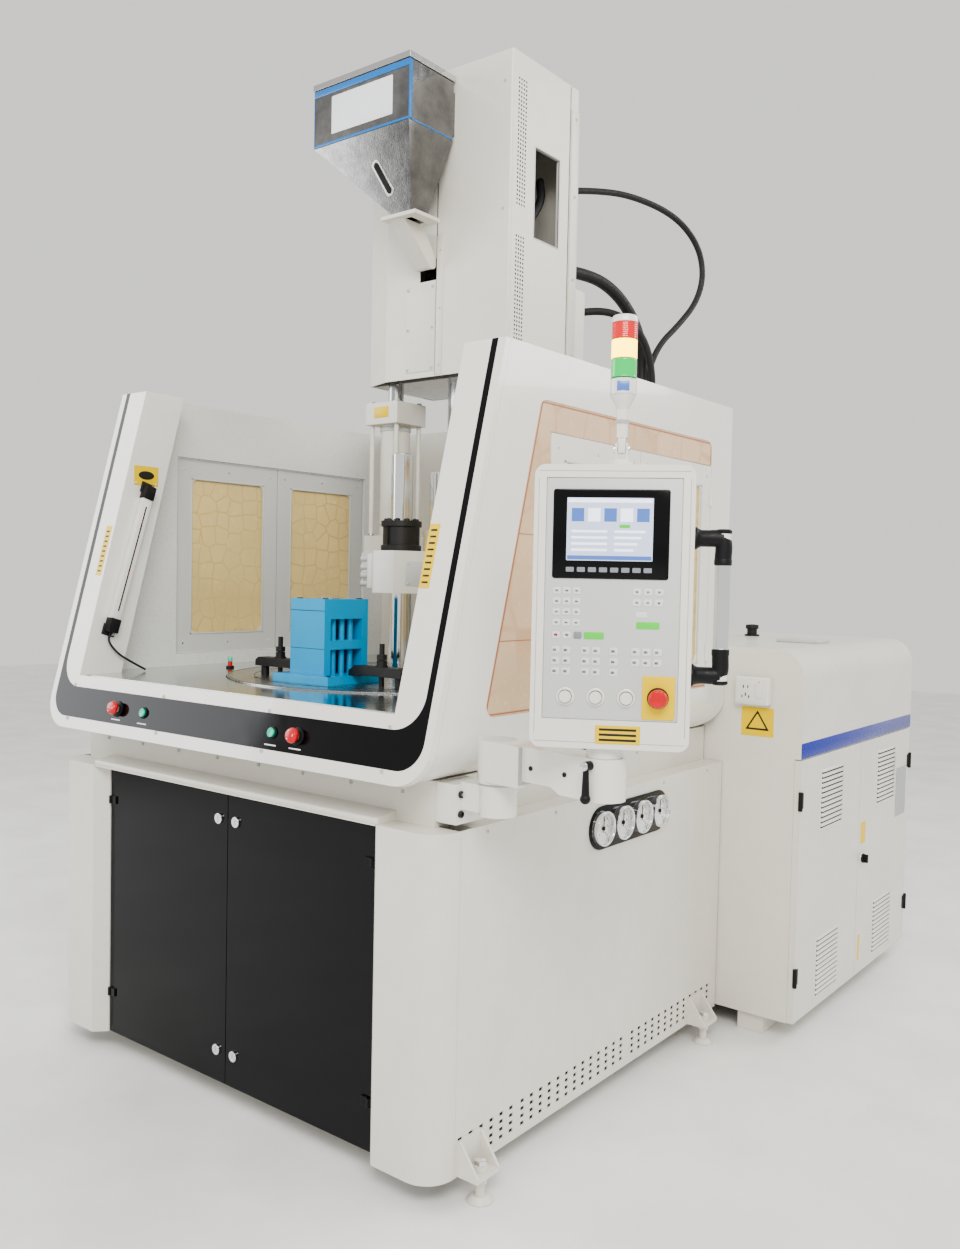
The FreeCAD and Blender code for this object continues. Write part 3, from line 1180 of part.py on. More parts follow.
def make_lamp(end):
    """Three colour lamp on a folding post, above the panel."""
    x, y = PANEL_X + LAMP_X, PANEL_Y
    tongue = box("lamp_tongue", (x - 8.7, y - 10, s.fold_z - 10),
                 (x + 8.7, y + 10, s.fold_z + 30))
    neck = rod("lamp_neck", (x, y, s.fold_z + 25), 12, s.lamp_low - s.fold_z - 50)
    flare = frustum("lamp_flare", (x, y, s.lamp_low - 30), 13, s.lamp_radius, 30)
    body = rod("lamp_body", (x, y, s.lamp_low), s.lamp_radius, s.lamp_high - s.lamp_low)
    bore = rod("lamp_bore", (x - 10, y, s.fold_z), s.fold_pin + s.running, 20, "x")
    stem = fuse("lamp_stem", tongue, neck, flare, body)
    node("signal_lamp", on_panel(cut("signal_lamp_cut", stem, bore), end))


# ---------------------------------------------------------------- buttons and gauges
def make_front_buttons():
    """Emergency stops and start buttons, square to the sloped band."""
    for name, x in (("front_stop_left", s.stop_left_x), ("front_stop_right", s.stop_right_x)):
        cap = frustum(name + "_cap", (x, -s.stop_travel - 22, s.button_s), s.stop_radius - 3,
                      s.stop_radius, 14, "y")
        stem = rod(name + "_stem", (x, -14, s.button_s), 10.5, 36, "y")
        node(name, sloped(fuse(name + "_fuse", cap, stem)))
    for name, x in (("front_start_left", s.start_left_x), ("front_start_right", s.start_right_x)):
        cap = rod(name + "_cap", (x, -s.push_travel - 6, s.button_s), s.push_radius, 5.5, "y")
        stem = rod(name + "_stem", (x, -5, s.button_s), 10.5, 26, "y")
        node(name, sloped(fuse(name + "_fuse", cap, stem)))


def make_gauges():
    face = s.half_width
    r = s.gauge_plate
    y0, y1 = s.gauge_y, s.gauge_y + s.gauge_pitch * 3
    plate = fuse("gauge_plate_fuse",
                 box("gauge_plate_bar", (face, y0, s.gauge_z - r), (face + 3, y1, s.gauge_z + r)),
                 rod("gauge_plate_front", (face, y0, s.gauge_z), r, 3, "x"),
                 rod("gauge_plate_rear", (face, y1, s.gauge_z), r, 3, "x"))
    pieces = [plate]
    for i in range(4):
        y = s.gauge_y + s.gauge_pitch * i
        cup = rod(f"gauge_{i}_cup", (face + 3, y, s.gauge_z), s.gauge_radius, 18, "x")
        well = rod(f"gauge_{i}_well", (face + 7, y, s.gauge_z), s.gauge_radius - 7, 20, "x")
        pin = rod(f"gauge_{i}_pin", (face + 5, y, s.gauge_z), 2.5, 5, "x")
        pieces.append(fuse(f"gauge_{i}", cut(f"gauge_{i}_cut", cup, well), pin))
        hub = rod(f"needle_{i}_hub", (face + 10.3, y, s.gauge_z), 6, 3, "x")
        hand = box(f"needle_{i}_hand", (face + 11, y - 1.2, s.gauge_z - 12),
                   (face + 12.4, y + 1.2, s.gauge_z + 34))
        node(f"gauge_needle_{i + 1}", fuse(f"needle_{i}_fuse", hub, hand))
    node("pressure_gauges", group("pressure_gauges_group", *pieces))


# ---------------------------------------------------------------- cables
CABLES = {
    "conduit_thin": (11, [(285, 524.5, 2868), (318, 628, 2893), (372, 790, 2912), (440, 985, 2885),
                          (486, 1092, 2800), (498, 1130, 2690), (486, 1100, 2580),
                          (460, 1010, 2480), (434, 915, 2395), (420, 862, 2290),
                          (412, 846, 2170), (410, 845, 2060), (410, 846.5, 1960)]),
    "hose_thick": (21, [(272, 525.5, 2596), (298, 617, 2602), (330, 722, 2579), (357, 811, 2516),
                        (375, 871, 2423), (382, 893, 2313), (379, 881, 2203), (375, 863, 2103),
                        (373, 851, 2008), (372, 848, 1920)]),
    "cable_lower": (13, [(275, 588, 2462), (316, 644, 2478), (368, 706, 2474), (414, 766, 2438),
                         (439, 812, 2372), (445, 844, 2288), (439, 861, 2198), (434, 867, 2104),
                         (432, 868, 2015), (432, 868.5, 1935)]),
}


def bend_radius(before, at, after):
    """Largest tangent arc at a route point: 0.45 of the shorter run over tan of half the turn."""
    run_in, run_out = at - before, after - at
    turn = run_in.getAngle(run_out)
    return 0.45 * min(run_in.Length, run_out.Length) / math.tan(turn / 2), turn


def cable_path(points):
    """Straight runs joined by tangent arcs."""
    edges, start = [], points[0]
    for before, at, after in zip(points, points[1:], points[2:]):
        radius, turn = bend_radius(before, at, after)
        back = radius * math.tan(turn / 2)
        arc_start = at + (before - at).normalize() * back
        arc_end = at + (after - at).normalize() * back
        centre_way = ((arc_start - at) + (arc_end - at)).normalize()
        centre = at + centre_way * (radius / math.cos(turn / 2))
        middle = centre - centre_way * radius
        edges.append(Part.LineSegment(start, arc_start).toShape())
        edges.append(Part.Arc(arc_start, middle, arc_end).toShape())
        start = arc_end
    edges.append(Part.LineSegment(start, points[-1]).toShape())
    return Part.Wire(edges)


def make_cables():
    for name, (radius, route) in CABLES.items():
        points = [Vector(*point) for point in route]
        path = cable_path(points)
        radii = [bend_radius(*three)[0] for three in zip(points, points[1:], points[2:])]
        profile = Part.Wire([Part.makeCircle(radius, points[0], points[1] - points[0])])
        tube = path.makePipeShell([profile], True, False)
        thing = doc.addObject("Part::Feature", name)
        thing.Shape = tube
        ideal = math.pi * radius ** 2 * path.Length
        print(f"{name}: length {path.Length:.0f}, radii",
              " ".join(f"{r:.0f}" for r in radii), f"volume ratio {tube.Volume / ideal:.3f}")
        node(name, thing)


# ---------------------------------------------------------------- build, check, write
make_base()
make_corner_covers()
make_side_panels()
make_feet()
make_skirt()
make_front_doors()
make_latches()
make_front_frame()
make_front_band()
make_cabin_walls()
make_window_doors()
make_deck()
make_table()
make_mould()
make_mould_clamps()
make_platen()
make_tie_bars()
make_clamp_cylinder()
make_carriage()
make_injection_unit()
make_injection_cover()
make_hopper()
make_cabinet()
make_cabinet_doors()
make_trunk()
arm_end = make_arm()
panel_face = make_panel(arm_end)
make_panel_buttons(arm_end, panel_face)
make_lever(arm_end)
make_lamp(arm_end)
make_front_buttons()
make_gauges()
make_cables()
doc.recompute()

failed = [thing.Name for thing in doc.Objects
          if "Invalid" in thing.State or "Error" in thing.State]
failed += [name for name, thing in NODES.items()
           if thing.Shape.isNull() or not thing.Shape.isValid() or not thing.Shape.Solids]
if failed:
    raise RuntimeError("failed: " + ", ".join(failed))

os.makedirs("parts", exist_ok=True)
for name, thing in NODES.items():
    thing.Shape.exportStep(f"parts/{name}.step")
print(len(NODES), "nodes written")
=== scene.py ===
"""Looks of a vertical injection moulding machine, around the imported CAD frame.  Metres, +Z up."""
import math
import bpy
import bmesh
from itertools import product
from mathutils import Matrix, Vector


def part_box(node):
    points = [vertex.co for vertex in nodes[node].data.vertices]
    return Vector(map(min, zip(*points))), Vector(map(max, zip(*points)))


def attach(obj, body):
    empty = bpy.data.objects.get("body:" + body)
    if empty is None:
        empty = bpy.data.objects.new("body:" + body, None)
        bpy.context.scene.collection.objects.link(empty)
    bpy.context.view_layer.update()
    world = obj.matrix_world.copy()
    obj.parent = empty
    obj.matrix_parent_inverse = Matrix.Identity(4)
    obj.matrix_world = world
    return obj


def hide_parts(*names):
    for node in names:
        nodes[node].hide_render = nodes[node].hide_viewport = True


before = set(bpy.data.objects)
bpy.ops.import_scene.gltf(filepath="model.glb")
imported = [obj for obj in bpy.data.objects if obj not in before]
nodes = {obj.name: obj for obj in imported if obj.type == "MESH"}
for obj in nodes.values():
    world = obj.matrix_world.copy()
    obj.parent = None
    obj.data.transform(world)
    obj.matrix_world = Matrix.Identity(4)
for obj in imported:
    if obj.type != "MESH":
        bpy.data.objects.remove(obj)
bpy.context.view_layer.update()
scene = bpy.context.scene

RIGHT, BACK, UP = Vector((1, 0, 0)), Vector((0, 1, 0)), Vector((0, 0, 1))
FRONT = -BACK
SIDES = (-1, 1)


# ---------------------------------------------------------------- camera, floor and light
def make_camera():
    """Camera at the photograph's place: yaw, pitch and roll in degrees."""
    yaw, pitch, roll = (math.radians(a) for a in (38.0, 2.34, 1.19))
    ahead = Vector((-math.sin(yaw) * math.cos(pitch), math.cos(yaw) * math.cos(pitch),
                    -math.sin(pitch)))
    right = ahead.cross(Vector((0, 0, 1))).normalized()
    up = right.cross(ahead)
    side = right * math.cos(roll) + up * math.sin(roll)
    top = up * math.cos(roll) - right * math.sin(roll)
    data = bpy.data.cameras.new("camera")
    data.lens = 31.22
    data.sensor_width = 36
    data.clip_end = 60
    camera = bpy.data.objects.new("camera", data)
    turn = Matrix((side, top, -ahead)).transposed().to_4x4()
    camera.matrix_world = Matrix.Translation((2.4132, -2.6576, 1.5119)) @ turn
    scene.collection.objects.link(camera)
    scene.camera = camera


def area_light(name, place, target, size, power, colour=(1, 1, 1)):
    data = bpy.data.lights.new(name, "AREA")
    data.shape = "RECTANGLE"
    data.size, data.size_y = size
    data.energy = power
    data.color = colour
    lamp = bpy.data.objects.new(name, data)
    lamp.location = place
    lamp.rotation_euler = (Vector(target) - Vector(place)).to_track_quat("-Z", "Y").to_euler()
    scene.collection.objects.link(lamp)


def make_studio():
    """Pale floor, pale world and three large soft lights."""
    world = bpy.data.worlds.new("studio")
    scene.world = world
    world.use_nodes = True
    ground = world.node_tree.nodes["Background"]
    ground.inputs["Color"].default_value = (1.0, 0.985, 0.96, 1)
    ground.inputs["Strength"].default_value = 0.62
    area_light("key", (3.4, -3.6, 4.6), (0, 0, 1.3), (3.2, 2.2), 165, (1.0, 0.98, 0.95))
    area_light("fill", (-4.2, -2.6, 2.8), (0, 0, 1.2), (3.0, 3.0), 70, (0.95, 0.98, 1.0))
    area_light("rim", (3.6, 3.6, 4.0), (0.3, 0.8, 1.2), (2.4, 2.4), 60)
    mesh = bpy.data.meshes.new("floor")
    reach = 14
    mesh.from_pydata([(-reach, -reach, 0), (reach, -reach, 0), (reach, reach, 0),
                      (-reach, reach, 0)], [], [(0, 1, 2, 3)])
    floor = bpy.data.objects.new("floor", mesh)
    floor.location.z = -0.0005
    scene.collection.objects.link(floor)
    floor.data.materials.append(surface("floor_pale", (0.86, 0.86, 0.85), 0.6, grain=40, bump=0.02,
                                        edge=0))
    scene.view_settings.view_transform = "AgX"
    scene.view_settings.look = "AgX - Medium High Contrast"
    scene.view_settings.exposure = 0.38


# ---------------------------------------------------------------- materials
class Tree:
    """Short names for building a node tree."""

    def __init__(self, name):
        self.material = bpy.data.materials.new(name)
        self.material.use_nodes = True
        self.tree = self.material.node_tree
        self.shader = self.tree.nodes["Principled BSDF"]

    def add(self, kind, values=None, **settings):
        made = self.tree.nodes.new("ShaderNode" + kind)
        for key, value in settings.items():
            setattr(made, key, value)
        for key, value in (values or {}).items():
            made.inputs[key].default_value = value
        return made

    def link(self, out, into):
        self.tree.links.new(out, into)

    def place(self, stretch=(1, 1, 1)):
        """Object coordinates in metres, stretched along the axes."""
        coords = self.add("TexCoord")
        mapping = self.add("Mapping", {"Scale": stretch})
        self.link(coords.outputs["Object"], mapping.inputs["Vector"])
        return mapping.outputs["Vector"]

    def noise(self, where, scale, detail=3.0, rough=0.55):
        made = self.add("TexNoise", {"Scale": scale, "Detail": detail, "Roughness": rough})
        self.link(where, made.inputs["Vector"])
        return made.outputs["Fac"]

    def spread(self, value, low, high):
        """Map a noise value to a range."""
        made = self.add("MapRange", {"From Min": 0.3, "From Max": 0.7, "To Min": low, "To Max": high})
        self.link(value, made.inputs["Value"])
        return made.outputs["Result"]

    def mix(self, factor, first, second):
        made = self.add("Mix", data_type="RGBA")
        for socket, value in ((made.inputs[0], factor), (made.inputs[6], first),
                              (made.inputs[7], second)):
            if isinstance(value, bpy.types.NodeSocket):
                self.link(value, socket)
            else:
                socket.default_value = value
        return made.outputs[2]


def shade(colour, factor):
    return tuple(min(1.0, c * factor) for c in colour) + (1.0,)


def surface(name, colour, rough, metal=0.0, grain=350, bump=0.08, vary=0.06, edge=0.5,
            stretch=(1, 1, 1), coat=0.0, dirt=0.0, dirt_colour=(0.35, 0.32, 0.27), emit=None,
            glow=0.0, shine=0.5):
    """Procedural finish: tone and roughness drift, fine grain in the bump, worn edges, grime specks.
    """
    t = Tree(name)
    plain, run = t.place(), t.place(stretch)
    drift = t.noise(plain, 2.6, 4.0)
    fine = t.noise(run, grain, 2.0)
    tone = t.mix(t.spread(drift, 0, 1), shade(colour, 1 - vary), shade(colour, 1 + vary))
    if dirt:
        specks = t.noise(plain, 17.0, 6.0, 0.7)
        tone = t.mix(t.spread(specks, 0, dirt), tone, shade(dirt_colour, 1))
    normal = t.add("Bump", {"Strength": bump, "Distance": 0.002})
    t.link(fine, normal.inputs["Height"])
    if edge:
        worn = t.add("Bevel", {"Radius": 0.0018}, samples=4)
        straight = t.add("NewGeometry")
        facing = t.add("VectorMath", operation="DOT_PRODUCT")
        t.link(worn.outputs["Normal"], facing.inputs[0])
        t.link(straight.outputs["Normal"], facing.inputs[1])
        rim = t.add("MapRange", {"From Min": 0.995, "From Max": 0.86, "To Min": 0.0, "To Max": edge})
        t.link(facing.outputs["Value"], rim.inputs["Value"])
        chips = t.add("Math", operation="MULTIPLY")
        t.link(rim.outputs["Result"], chips.inputs[0])
        t.link(t.spread(t.noise(plain, 55.0, 5.0, 0.7), 0.25, 1), chips.inputs[1])
        rub = 1.25 if sum(colour) < 1.5 else 0.8
        tone = t.mix(chips.outputs["Value"], tone, shade([c * rub + 0.02 for c in colour], 1))
        t.link(worn.outputs["Normal"], normal.inputs["Normal"])
    t.link(tone, t.shader.inputs["Base Color"])
    t.link(normal.outputs["Normal"], t.shader.inputs["Normal"])
    t.link(t.spread(t.noise(run, grain * 0.12 + 4, 4.0), rough * 0.8, min(1, rough * 1.25 + 0.02)),
           t.shader.inputs["Roughness"])
    t.shader.inputs["Metallic"].default_value = metal
    t.shader.inputs["Coat Weight"].default_value = coat
    t.shader.inputs["Specular IOR Level"].default_value = shine
    t.shader.inputs["Coat Roughness"].default_value = 0.04
    if glow:
        t.shader.inputs["Emission Color"].default_value = tuple(emit or colour) + (1,)
        t.shader.inputs["Emission Strength"].default_value = glow
    return t.material


def film(name, colour, dark, alpha, print_scale):
    """Clear sheet under a wrinkled protective film with faint worn patches."""
    t = Tree(name)
    where = t.place()
    cells = t.add("TexVoronoi", {"Scale": print_scale, "Randomness": 0.6},
                  feature="DISTANCE_TO_EDGE")
    t.link(where, cells.inputs["Vector"])
    line = t.add("MapRange", {"From Min": 0.0, "From Max": 0.07, "To Min": 0.55, "To Max": 0.0})
    t.link(cells.outputs["Distance"], line.inputs["Value"])
    patch = t.add("Math", operation="MULTIPLY")
    t.link(line.outputs["Result"], patch.inputs[0])
    t.link(t.spread(t.noise(where, 6.0, 3.0), 0, 1), patch.inputs[1])
    drift = t.mix(t.spread(t.noise(where, 3.0, 5.0), 0, 1), shade(colour, 0.86), shade(colour, 1.08))
    t.link(t.mix(patch.outputs["Value"], drift, shade(dark, 1)), t.shader.inputs["Base Color"])
    normal = t.add("Bump", {"Strength": 0.22, "Distance": 0.004})
    t.link(t.noise(t.place((1, 0.35, 1)), 9.0, 5.0, 0.6), normal.inputs["Height"])
    t.link(normal.outputs["Normal"], t.shader.inputs["Normal"])
    t.link(t.spread(t.noise(where, 30.0, 3.0), 0.12, 0.3), t.shader.inputs["Roughness"])
    t.shader.inputs["Alpha"].default_value = alpha
    t.shader.inputs["Coat Weight"].default_value = 0.5
    return t.material


M = {
    "white": surface("powder_white", (0.76, 0.735, 0.665), 0.36, grain=900, bump=0.05, vary=0.03,
                     dirt=0.08, coat=0.12),
    "white_gloss": surface("gloss_white", (0.81, 0.795, 0.745), 0.16, grain=500, bump=0.02, vary=0.02,
                           coat=0.5, dirt=0.03),
    "inner_white": surface("inner_white", (0.72, 0.73, 0.70), 0.28, grain=700, bump=0.04, vary=0.03,
                           dirt=0.05),
    "black": surface("gloss_black", (0.003, 0.003, 0.004), 0.08, grain=120, bump=0.015, vary=0.2,
                     edge=0.2, shine=0.28),
    "black_plastic": surface("black_plastic", (0.010, 0.010, 0.011), 0.42, grain=1400, bump=0.15,
                             shine=0.3),
    "blue": surface("blue_band", (0.012, 0.03, 0.34), 0.25, grain=700, bump=0.04, coat=0.3),
    "mould": surface("mould_cyan", (0.0, 0.33, 0.62), 0.36, grain=260, bump=0.1, vary=0.08,
                     dirt=0.08, dirt_colour=(0.0, 0.12, 0.22), coat=0.15),
    "steel": surface("ground_steel", (0.46, 0.465, 0.47), 0.24, metal=1, grain=160,
                     stretch=(1, 18, 1), bump=0.06, vary=0.1, dirt=0.2,
                     dirt_colour=(0.22, 0.21, 0.2)),
    "deck": surface("deck_steel", (0.62, 0.64, 0.63), 0.13, metal=1, grain=90, stretch=(12, 1, 1),
                    bump=0.03, vary=0.06, dirt=0.12, dirt_colour=(0.4, 0.42, 0.4)),
    "chrome": surface("hard_chrome", (0.80, 0.81, 0.82), 0.06, metal=1, grain=500,
                      stretch=(1, 1, 10), bump=0.02, vary=0.03, edge=0.2),
    # hopper steel: the dark base tone and the strong vertical streaks are painted reflection of dark
    # surroundings, darker than the steel's own colour
    "steel_painted_reflection": surface("steel_painted_reflection", (0.27, 0.268, 0.262), 0.11, metal=1, grain=34,
                           stretch=(9, 9, 1), bump=0.10, vary=0.4, edge=0.5, dirt=0.5,
                           dirt_colour=(0.05, 0.05, 0.055)),
    "stainless": surface("mirror_stainless", (0.55, 0.55, 0.54), 0.09, metal=1, grain=60,
                         stretch=(8, 8, 1), bump=0.05, vary=0.05, edge=0.3, dirt=0.04),
    "iron": surface("black_oxide", (0.045, 0.044, 0.043), 0.42, metal=0.7, grain=500, bump=0.2,
                    vary=0.15, edge=0.8),
    "cast": surface("grey_cast", (0.25, 0.25, 0.245), 0.55, metal=0.5, grain=420, bump=0.4,
                    vary=0.12),
    "film": film("peach_film", (0.84, 0.62, 0.40), (0.62, 0.30, 0.14), 0.80, 7.0),
    "amber": film("amber_film", (0.86, 0.68, 0.30), (0.50, 0.27, 0.06), 0.84, 16.0),
    "film_edge": surface("film_edge", (0.42, 0.16, 0.07), 0.4, grain=300, edge=0),
    "grey": surface("grey_plastic", (0.43, 0.44, 0.43), 0.36, grain=1100, bump=0.1, vary=0.03),
    "light_grey": surface("light_grey", (0.60, 0.61, 0.59), 0.38, grain=1200, bump=0.08, vary=0.02),
    "key": surface("key_grey", (0.72, 0.73, 0.71), 0.4, grain=1500, bump=0.05, edge=0),
    "key_dark": surface("key_dark", (0.24, 0.26, 0.29), 0.4, grain=1500, bump=0.05, edge=0),
    "screen": surface("screen_glass", (0.42, 0.47, 0.58), 0.08, grain=8, bump=0.0, vary=0.1, edge=0,
                      coat=0.6, emit=(0.55, 0.62, 0.80), glow=0.55),
    "screen_bar": surface("screen_bar", (0.75, 0.8, 0.9), 0.2, grain=8, edge=0, glow=0.7),
    "screen_blue": surface("screen_blue", (0.08, 0.16, 0.45), 0.2, grain=8, edge=0, glow=0.4),
    "red": surface("red_plastic", (0.60, 0.012, 0.015), 0.22, grain=800, bump=0.05, coat=0.4),
    # teal: the glow is painted light; the start caps it covers are no lamps
    "teal": surface("teal_button", (0.01, 0.48, 0.30), 0.25, grain=800, bump=0.05, coat=0.4,
                    glow=0.15),
    # green: its glow is the screen's own light on the screen marker, and painted light on the membrane
    # keys, which are no lamps
    "green": surface("green_key", (0.10, 0.62, 0.06), 0.3, grain=900, edge=0, glow=0.1),
    "yellow": surface("yellow_label", (0.86, 0.60, 0.01), 0.34, grain=900, bump=0.05, edge=0.2),
    "lamp_red": surface("lamp_red", (0.72, 0.02, 0.015), 0.12, grain=700, coat=0.7, glow=0.12),
    "lamp_yellow": surface("lamp_yellow", (1.0, 0.80, 0.10), 0.12, grain=700, coat=0.7,
                           emit=(1.0, 0.66, 0.06), glow=3.2),
    "lamp_green": surface("lamp_green", (0.01, 0.52, 0.10), 0.12, grain=700, coat=0.7, glow=0.3),
    "rubber": surface("cable_rubber", (0.012, 0.012, 0.013), 0.5, grain=900, bump=0.25, edge=0.3),
    "dial": surface("dial_white", (0.86, 0.86, 0.83), 0.35, grain=600, bump=0.02, edge=0),
    "shadow": surface("deep_shadow", (0.012, 0.012, 0.012), 0.85, grain=200, edge=0),
    "paper": surface("label_white", (0.82, 0.84, 0.86), 0.35, grain=500, bump=0.03, edge=0),
    "film_blue": surface("film_blue", (0.02, 0.18, 0.5), 0.25, grain=300, bump=0.1, edge=0),
}

DRESS = {
    "white": ["levelling_feet", "base_frame", "corner_covers", "side_panels", "skirt_cover",
              "cabin_rear_wall", "injection_cover", "cabinet_body", "cabinet_door_front",
              "cabinet_door_rear",
              "hose_trunk", "carriage_cylinders"],
    "inner_white": ["cabin_left_wall"],
    "white_gloss": ["front_frame", "cabin_right_wall", "clamp_platen", "arm_bracket", "panel_arm",
                    "panel_case", "right_window_door_front", "right_window_door_rear",
                    "panel_button_left", "panel_button_middle", "panel_button_right"],
    "black": ["front_door_left", "front_door_right", "front_band"],
    "light_grey": ["left_window_door_front", "left_window_door_rear"],
    "film": ["right_fixed_pane"],
    "deck": ["deck_plate"],
    "steel": ["rotary_table", "injection_unit"],
    "mould": ["mould"],
    "iron": ["mould_clamps"],
    "cast": ["table_pedestal", "clamp_cylinder"],
    "chrome": ["tie_bars", "latch_left_upper", "latch_left_lower", "latch_right_upper",
               "latch_right_lower", "pressure_gauges"],
    # the hopper gets the steel with painted reflection
    "steel_painted_reflection": ["hopper"],
    "stainless": ["hopper_lid"],
    "black_plastic": ["cabinet_lock", "arm_lever", "gauge_needle_1", "gauge_needle_2",
                      "gauge_needle_3", "gauge_needle_4"],
    "red": ["panel_stop", "front_stop_left", "front_stop_right"],
    "teal": ["front_start_left", "front_start_right"],
}


def dress_nodes():
    """Give every shown CAD node its finish."""
    for finish, names in DRESS.items():
        for name in names:
            mesh = nodes[name].data
            mesh.materials.clear()
            mesh.materials.append(M[finish])
    for name in ("left_window_door_front", "left_window_door_rear", "right_window_door_front",
                 "right_window_door_rear"):
        tint_panes(name)
    mesh = nodes["hopper"].data
    mesh.materials.append(M["white"])
    for face in mesh.polygons:
        if face.center.z < 2.692:
            face.material_index = 1


def tint_panes(name):
    """Film on the clear pane of a window door: the faces within the frame's light."""
    mesh = nodes[name].data
    low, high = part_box(name)
    frame_width = 0.066
    mesh.materials.append(M["amber"])
    for face in mesh.polygons:
        y, z = face.center.y, face.center.z
        inside = (low.y + frame_width < y < high.y - frame_width and
                  low.z + frame_width < z < high.z - frame_width)
        if inside and abs(face.normal.x) > 0.9:
            face.material_index = 1


# ---------------------------------------------------------------- pieces
class Piece:
    """One object made of several shaped parts, each with its own finish."""

    def __init__(self, name, body, slot, where=None):
        self.name, self.body, self.slot = name, body, slot
        self.where = where or Matrix.Identity(4)
        self.mesh = bmesh.new()
        self.finishes = []

    def take(self, part, finish):
        """Add a finished part in the piece's frame."""
        if finish not in self.finishes:
            self.finishes.append(finish)
        number = self.finishes.index(finish)
        for face in part.faces:
            face.material_index = number
        part.transform(self.where)
        held = bpy.data.meshes.new("held")
        part.to_mesh(held)
        part.free()
        self.mesh.from_mesh(held)
        bpy.data.meshes.remove(held)

    def block(self, low, high, finish, bevel=0.0012, turn=None, segments=2):
        """A box with rounded edges, turned about its own middle."""
        part = bmesh.new()
        size = Vector(high) - Vector(low)
        bmesh.ops.create_cube(part, size=1.0)
        part.transform(Matrix.Diagonal((*size, 1)))
        room = min(abs(v) for v in size) * 0.45
        bmesh.ops.bevel(part, geom=part.edges[:], offset=min(bevel, room), segments=segments,
                        affect="EDGES", profile=0.5)
        middle = (Vector(low) + Vector(high)) / 2
        part.transform(Matrix.Translation(middle) @ (turn or Matrix.Identity(4)))
        self.take(part, finish)

    def lathe(self, foot, axis, profile, finish, steps=28):
        """A turned part: (radius, height) pairs along an axis from its foot."""
        part = bmesh.new()
        rings = []
        for radius, height in profile:
            if radius < 1e-6:
                rings.append([part.verts.new((0, 0, height))])
                continue
            rings.append([part.verts.new((radius * math.cos(2 * math.pi * i / steps),
                                          radius * math.sin(2 * math.pi * i / steps), height))
                          for i in range(steps)])
        for below, above in zip(rings, rings[1:]):
            for i in range(steps):
                j = (i + 1) % steps
                corners = [below[i % len(below)], below[j % len(below)], above[j % len(above)],
                           above[i % len(above)]]
                unique = list(dict.fromkeys(corners))
                if len(unique) > 2:
                    part.faces.new(unique)
        bmesh.ops.recalc_face_normals(part, faces=part.faces[:])
        turn = Vector(axis).to_track_quat("Z", "Y").to_matrix().to_4x4()
        part.transform(Matrix.Translation(foot) @ turn)
        self.take(part, finish)

    def slab(self, outline, plane, low, high, finish, radius=0.0, bevel=0.0):
        """A flat plate: an outline in xz or yz, from low to high across it, corners rounded."""
        points = rounded(outline, radius) if radius else [Vector(p).to_2d() for p in outline]
        part = bmesh.new()

        def spot(point, depth):
            return (point.x, depth, point.y) if plane == "xz" else (depth, point.x, point.y)
        face = part.faces.new([part.verts.new(spot(p, low)) for p in points])
        made = bmesh.ops.extrude_face_region(part, geom=[face])
        shift = Vector(spot(Vector((0, 0)), high)) - Vector(spot(Vector((0, 0)), low))
        moved = [v for v in made["geom"] if isinstance(v, bmesh.types.BMVert)]
        bmesh.ops.translate(part, verts=moved, vec=shift)
        bmesh.ops.recalc_face_normals(part, faces=part.faces[:])
        if bevel:
            rims = [e for e in part.edges if len(e.link_faces) == 2 and
                    e.calc_face_angle(0) > 1.2]
            bmesh.ops.bevel(part, geom=rims, offset=bevel, segments=2, affect="EDGES",
                            profile=0.5)
        self.take(part, finish)

    def tube(self, points, radius, finish, steps=12):
        """A bent tube through points, smoothed."""
        line = smooth(points)
        part = bmesh.new()
        rings = []
        side = None
        for i, point in enumerate(line):
            ahead = (line[min(i + 1, len(line) - 1)] - line[max(i - 1, 0)]).normalized()
            if side is None:
                side = ahead.orthogonal().normalized()
            side = (side - ahead * side.dot(ahead)).normalized()
            other = ahead.cross(side)
            rings.append([part.verts.new(point + side * radius * math.cos(2 * math.pi * k / steps)
                                         + other * radius * math.sin(2 * math.pi * k / steps))
                          for k in range(steps)])
        for below, above in zip(rings, rings[1:]):
            for k in range(steps):
                j = (k + 1) % steps
                part.faces.new((below[k], below[j], above[j], above[k]))
        part.faces.new(rings[0][::-1])
        part.faces.new(rings[-1])
        self.take(part, finish)

    def screw(self, place, axis, radius=0.006, finish="chrome", high=0.003):
        """Cap screw with a round socket."""
        r = radius
        self.lathe(place, axis, [(r, 0), (r, high * 0.7), (r * 0.86, high), (r * 0.5, high),
                                 (r * 0.5, high * 0.35), (0, high * 0.35)], finish, steps=14)

    def screws(self, xs, ys, zs, axis, *looks):
        """A grid of cap screws."""
        for place in product(xs, ys, zs):
            self.screw(place, axis, *looks)

    def done(self, *replaced):
        """Make the object, tie it to its body, and hide the named CAD nodes it stands for."""
        mesh = bpy.data.meshes.new(self.name)
        self.mesh.to_mesh(mesh)
        self.mesh.free()
        mesh.polygons.foreach_set("use_smooth", [True] * len(mesh.polygons))
        mesh.set_sharp_from_angle(angle=math.radians(34))
        for finish in self.finishes:
            mesh.materials.append(M[finish])
        thing = bpy.data.objects.new(self.name, mesh)
        scene.collection.objects.link(thing)
        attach(thing, self.body)
        if replaced:
            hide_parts(*replaced)
        return thing


